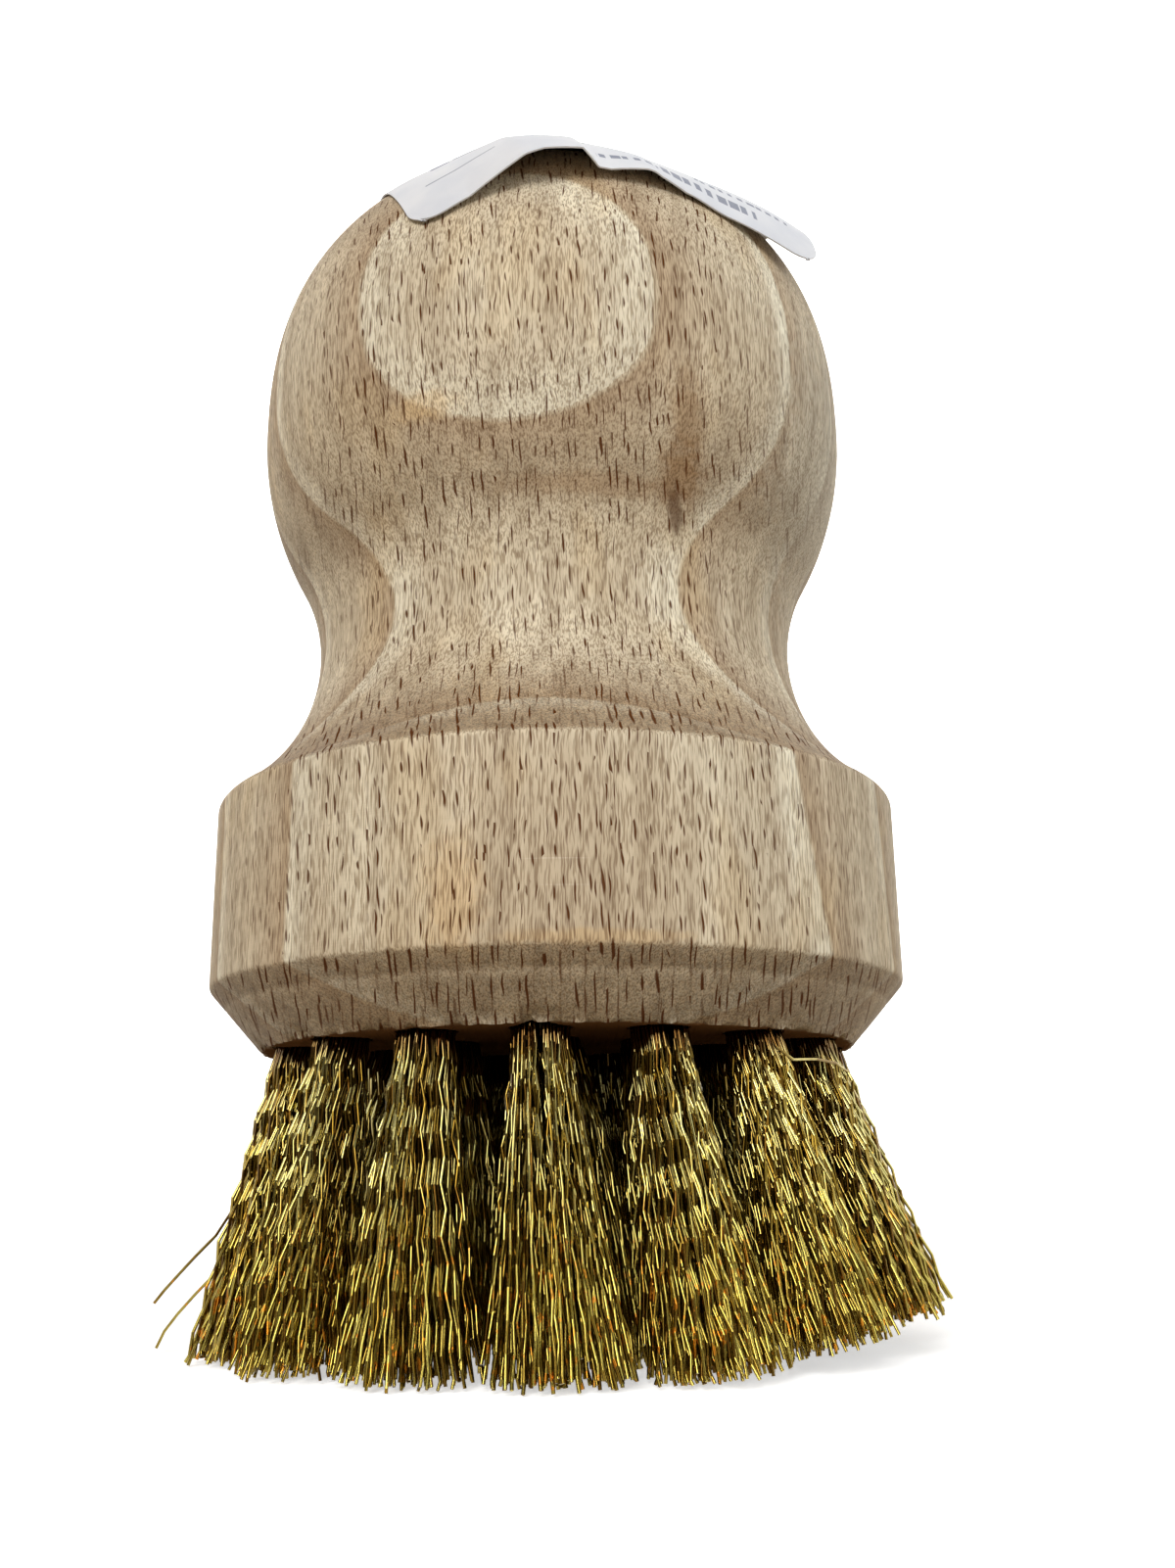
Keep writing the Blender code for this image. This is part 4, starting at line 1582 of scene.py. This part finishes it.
@dataclass
class PaperLabel:
    """A rectangular sticker over the crown: stiff panels with creases between them and one loose end."""

    SHEET_MAP = "sheet"

    turning: Turning
    finish: PaperFinish
    length: float = 38.0 * MM
    width: float = 30.0 * MM
    slide: float = 1.0 * MM
    corner: float = 3.0 * MM
    thickness: float = 0.13 * MM
    tilt: float = math.radians(30.0)
    shift: float = math.radians(12.0)
    turn: float = math.radians(6.0)
    left_seat: float = -15.0 * MM
    fold: float = -7.5 * MM
    right_seat: float = 4.0 * MM
    right_stiffness: float = 0.63
    back_settling: float = 0.6
    pleats: tuple[Pleat, ...] = (
        Pleat(-12.5 * MM, -6.0 * MM, -3.0 * MM, -1.5 * MM, 1.45 * MM),
        Pleat(-0.4 * MM, 2.7 * MM, 3.3 * MM, 6.5 * MM, 0.85 * MM),
    )
    pleat_foot: float = -5.0 * MM
    pleat_curl: float = 1.5
    front_lift: float = 0.25 * MM
    front_dip: float = 2.6
    dip_range: tuple[float, float] = (6 * MM, 11 * MM)
    ripple_grain: float = 0.16 / MM
    ripple_height: float = 0.07 * MM
    seat_gap: float = 0.12 * MM
    cells: tuple[int, int] = (190, 110)
    crease: float = 50.0

    def basis(self) -> tuple[Vector, Vector, Vector]:
        """Unit vectors of the label's middle.

        Returns:
            Along its length, along its width towards the back, and outwards.
        """
        front = Vector((math.sin(self.shift), -math.cos(self.shift), 0))
        outward = TOP * math.cos(self.tilt) + front * math.sin(self.tilt)
        level = TOP.cross(outward).normalized()
        along = level * math.cos(self.turn) + outward.cross(level) * math.sin(self.turn)
        return along, outward.cross(along), outward

    def rounded(self, along: float, across: float) -> tuple[float, float]:
        """Pulls a point of the sheet in to its rounded corner.

        Args:
            along: Place along the length.
            across: Place along the width.

        Returns:
            The place on the rounded sheet.
        """
        past_length = max(abs(along) - self.length / 2 + self.corner, 0)
        past_width = max(abs(across) - self.width / 2 + self.corner, 0)
        over = Vector((past_length, past_width))
        excess = over * max(0, 1 - self.corner / max(over.length, self.corner))
        return along - math.copysign(excess.x, along), across - math.copysign(excess.y, across)

    def lift(self, along: float, across: float) -> float:
        """How far the paper stands off the knob there.

        Args:
            along: Place along the length.
            across: Place along the width.

        Returns:
            The distance.
        """
        double_radius = 2 * self.turning.knob_radius
        if along < self.fold:
            panel = (along - self.left_seat) ** 2 / double_radius if along > self.left_seat else 0.0
        elif along < self.right_seat:
            share = (self.right_seat - along) / (self.right_seat - self.fold)
            panel = share * (self.fold - self.left_seat) ** 2 / double_radius
        else:
            panel = self.right_stiffness * (along - self.right_seat) ** 2 / double_radius
        panel *= 1 - self.back_settling * smooth(across, self.pleat_foot, 0.9 * self.width / 2)
        forward = (self.pleat_foot - across) / (self.pleat_foot + self.width / 2)
        front = min(max(forward, 0.0), 1.0) ** self.pleat_curl
        pleated = sum(pleat.rise(along) for pleat in self.pleats)
        pleated += self.front_lift * (1 - self.front_dip * smooth(along, *self.dip_range))
        ripple = noise.noise(Vector((along, across, 0)) * self.ripple_grain) * self.ripple_height
        return max(panel + pleated * front + ripple, 0.0)

    def point(self, along: float, across: float) -> Vector:
        """The place on the knob of a point of the sheet.

        Args:
            along: Place along the length.
            across: Place along the width.

        Returns:
            The place in the brush's frame.
        """
        long_way, wide_way, outward = self.basis()
        flat = long_way * along + wide_way * across
        angle = flat.length / self.turning.knob_radius
        direction = outward * math.cos(angle) + flat.normalized() * math.sin(angle)
        distance = self.turning.crown_distance(math.asin(direction.z)) + self.seat_gap
        distance += self.lift(along, across)
        return TOP * self.turning.knob_centre.y + direction * distance

    def build(self) -> bpy.types.Object:
        """Lays the sheet over the crown and dresses it.

        Returns:
            The piece, which stands for the CAD label.
        """
        bm = bmesh.new()
        bmesh.ops.create_grid(bm, x_segments=self.cells[0], y_segments=self.cells[1], size=0.5)
        sheet_map = bm.loops.layers.uv.new(self.SHEET_MAP)
        for vert in bm.verts:
            along, across = self.rounded(vert.co.x * self.length, vert.co.y * self.width)
            for loop in vert.link_loops:
                loop[sheet_map].uv = (along / self.length + 0.5, across / self.width + 0.5)
            vert.co = self.point(along + self.slide, across)
        mesh = bpy.data.meshes.new("paper_label_sheet")
        bm.to_mesh(mesh)
        bm.free()
        piece = link_piece("paper_label_sheet", mesh, Slot.PAPER, "paper_label")
        wall = piece.modifiers.new("thickness", "SOLIDIFY")
        wall.thickness = self.thickness
        wall.offset = 1.0 if mesh.polygons[0].normal.dot(self.basis()[2]) > 0 else -1.0
        finish_piece(piece, self.finish.material("label paper"), self.crease)
        return piece


@dataclass(frozen=True)
class Lamp:
    """A square soft lamp that faces the brush, with its power in watts."""

    name: str
    place: Point
    size: float
    power: float
    hue: Colour = (1.0, 1.0, 1.0)

    def build(self) -> None:
        """Hangs the lamp."""
        light = bpy.data.lights.new(self.name, "AREA")
        light.size = self.size
        light.energy = self.power
        light.color = self.hue
        lamp = add_object(self.name, light)
        lamp.location = self.place
        aim = Vector((0, 0, 50 * MM)) - Vector(self.place)
        lamp.rotation_mode = "QUATERNION"
        lamp.rotation_quaternion = aim.to_track_quat("-Z", "Y")


@dataclass
class Studio:
    """A pale floor that sweeps up behind the brush, soft lamps and the photograph's camera."""

    sweep_glow: float = 1.0
    floor_glow: float = 0.55
    floor_size: float = 4.0
    sweep_radius: float = 0.42
    sweep_height: float = 1.1
    sweep_steps: int = 48
    cove: float = 0.12
    cove_steps: int = 12
    room_low: Colour = (0.16, 0.16, 0.16)
    room_high: Colour = (0.42, 0.42, 0.42)
    lamps: tuple[Lamp, ...] = (
        Lamp("key", (-0.3, -1.18, 0.68), 0.6, 12.0),
        Lamp("high", (-0.05, -0.92, 1.08), 0.22, 1.3),
        Lamp("fill", (1.1, -0.5, 0.35), 0.8, 5.6, (0.8, 0.9, 1.0)),
    )
    focal_pixels: float = 1500.0
    picture: tuple[int, int] = (1200, 1601)
    sensor: float = 36.0
    camera_distance: float = 130.61 * MM
    camera_height: float = 12.92 * MM
    pitch: float = math.radians(15.24)
    yaw: float = math.radians(1.27)
    roll: float = math.radians(0.82)
    bearing: float = math.radians(3.25)

    def build(self) -> None:
        """Makes floor, lamps, surroundings and camera."""
        self.make_sweep()
        for lamp in self.lamps:
            lamp.build()
        self.make_surroundings()
        self.make_camera()
        bpy.context.scene.view_settings.view_transform = "Standard"

    def make_sweep(self) -> None:
        """A floor with a half round backdrop that rises from it in one curve."""
        bm = bmesh.new()
        start = self.sweep_radius - self.cove
        profile = [Vector((start, 0, 0))]
        for step in range(1, self.cove_steps + 1):
            angle = math.pi / 2 * step / self.cove_steps
            rise = self.cove * (1 - math.cos(angle))
            profile.append(Vector((start + self.cove * math.sin(angle), 0, rise)))
        profile.append(Vector((self.sweep_radius, 0, self.sweep_height)))
        spin(bm, profile, math.pi, self.sweep_steps)
        self.add_stage("sweep", bm, PaleFinish(self.sweep_glow).material("backdrop white"))
        bm = bmesh.new()
        bmesh.ops.create_grid(bm, x_segments=1, y_segments=1, size=self.floor_size)
        self.add_stage("floor", bm, PaleFinish(self.floor_glow).material("floor white"))

    def add_stage(self, name: str, bm: bmesh.types.BMesh, material: bpy.types.Material) -> None:
        """Adds a part of the stage.

        Args:
            name: The part's name.
            bm: Its shape.
            material: Its material.
        """
        thing = add_object(name, mesh_from(bm, name))
        thing.data.shade_smooth()
        thing.data.materials.append(material)

    def make_surroundings(self) -> None:
        """A plain room that is dim low down and brighter overhead."""
        world = bpy.data.worlds.new("room")
        world.use_nodes = True
        bpy.context.scene.world = world
        sheet = NodeSheet(world.node_tree)
        background = world.node_tree.nodes["Background"]
        overhead = sheet.signal("Generated", "TexCoord").parts()[2].step(0.3, 0.9)
        sheet.feed(background.inputs["Color"], sheet.blend(overhead, self.room_low, self.room_high))
        background.inputs["Strength"].default_value = 1.0

    def make_camera(self) -> None:
        """The camera that was fitted to the photograph."""
        lens = bpy.data.cameras.new("camera")
        lens.sensor_width = self.sensor
        lens.lens = self.focal_pixels / max(self.picture) * self.sensor
        lens.clip_start = 5 * MM
        ahead_level = Vector((math.sin(self.yaw), math.cos(self.yaw), 0))
        ahead = ahead_level * math.cos(self.pitch) + TOP * math.sin(self.pitch)
        rise = TOP * math.cos(self.pitch) - ahead_level * math.sin(self.pitch)
        level = Vector((math.cos(self.yaw), -math.sin(self.yaw), 0))
        right = level * math.cos(self.roll) - rise * math.sin(self.roll)
        up = level * math.sin(self.roll) + rise * math.cos(self.roll)
        turn = Matrix.Rotation(self.bearing, 3, "Z")
        axes = Matrix((turn @ right, turn @ up, turn @ -ahead)).transposed()
        place = turn @ Vector((0, -self.camera_distance, self.camera_height))
        camera = add_object("camera", lens)
        camera.matrix_world = Matrix.Translation(place) @ axes.to_4x4()
        bpy.context.scene.camera = camera


def dress_anchors(material: bpy.types.Material) -> int:
    """Gives the anchors, which keep their solids, their steel.

    Args:
        material: The steel.

    Returns:
        How many anchors there are.
    """
    anchors = [node for name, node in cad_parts.items() if name.startswith("anchor_")]
    for node in anchors:
        node.data.materials.clear()
        node.data.materials.append(material)
    return len(anchors)


def report(piece: bpy.types.Object) -> None:
    """Logs a piece's name and size."""
    LOG.info("%s: %d faces", piece.name, len(piece.data.polygons))


def main() -> None:
    """Builds the brush and its studio, in order."""
    logging.basicConfig(level=logging.INFO, format="%(name)s: %(message)s")
    effects = SharedEffects()
    turning = Turning()
    layout = TuftLayout(turning)
    Studio().build()
    report(BeechHandle(turning, layout, BeechFinish(effects)).build())
    brass = BrassFinish(effects).material("brass wire")
    for ring in Ring:
        for number in range(len(ring.tufts())):
            report(WireTuft(layout, ring, number, **RING_SETTINGS[ring]).build(brass))
    report(PaperLabel(turning, PaperFinish(effects)).build())
    LOG.info("anchors: %d", dress_anchors(SteelFinish(effects).material("anchor steel")))


if __name__ == "__main__":
    main()
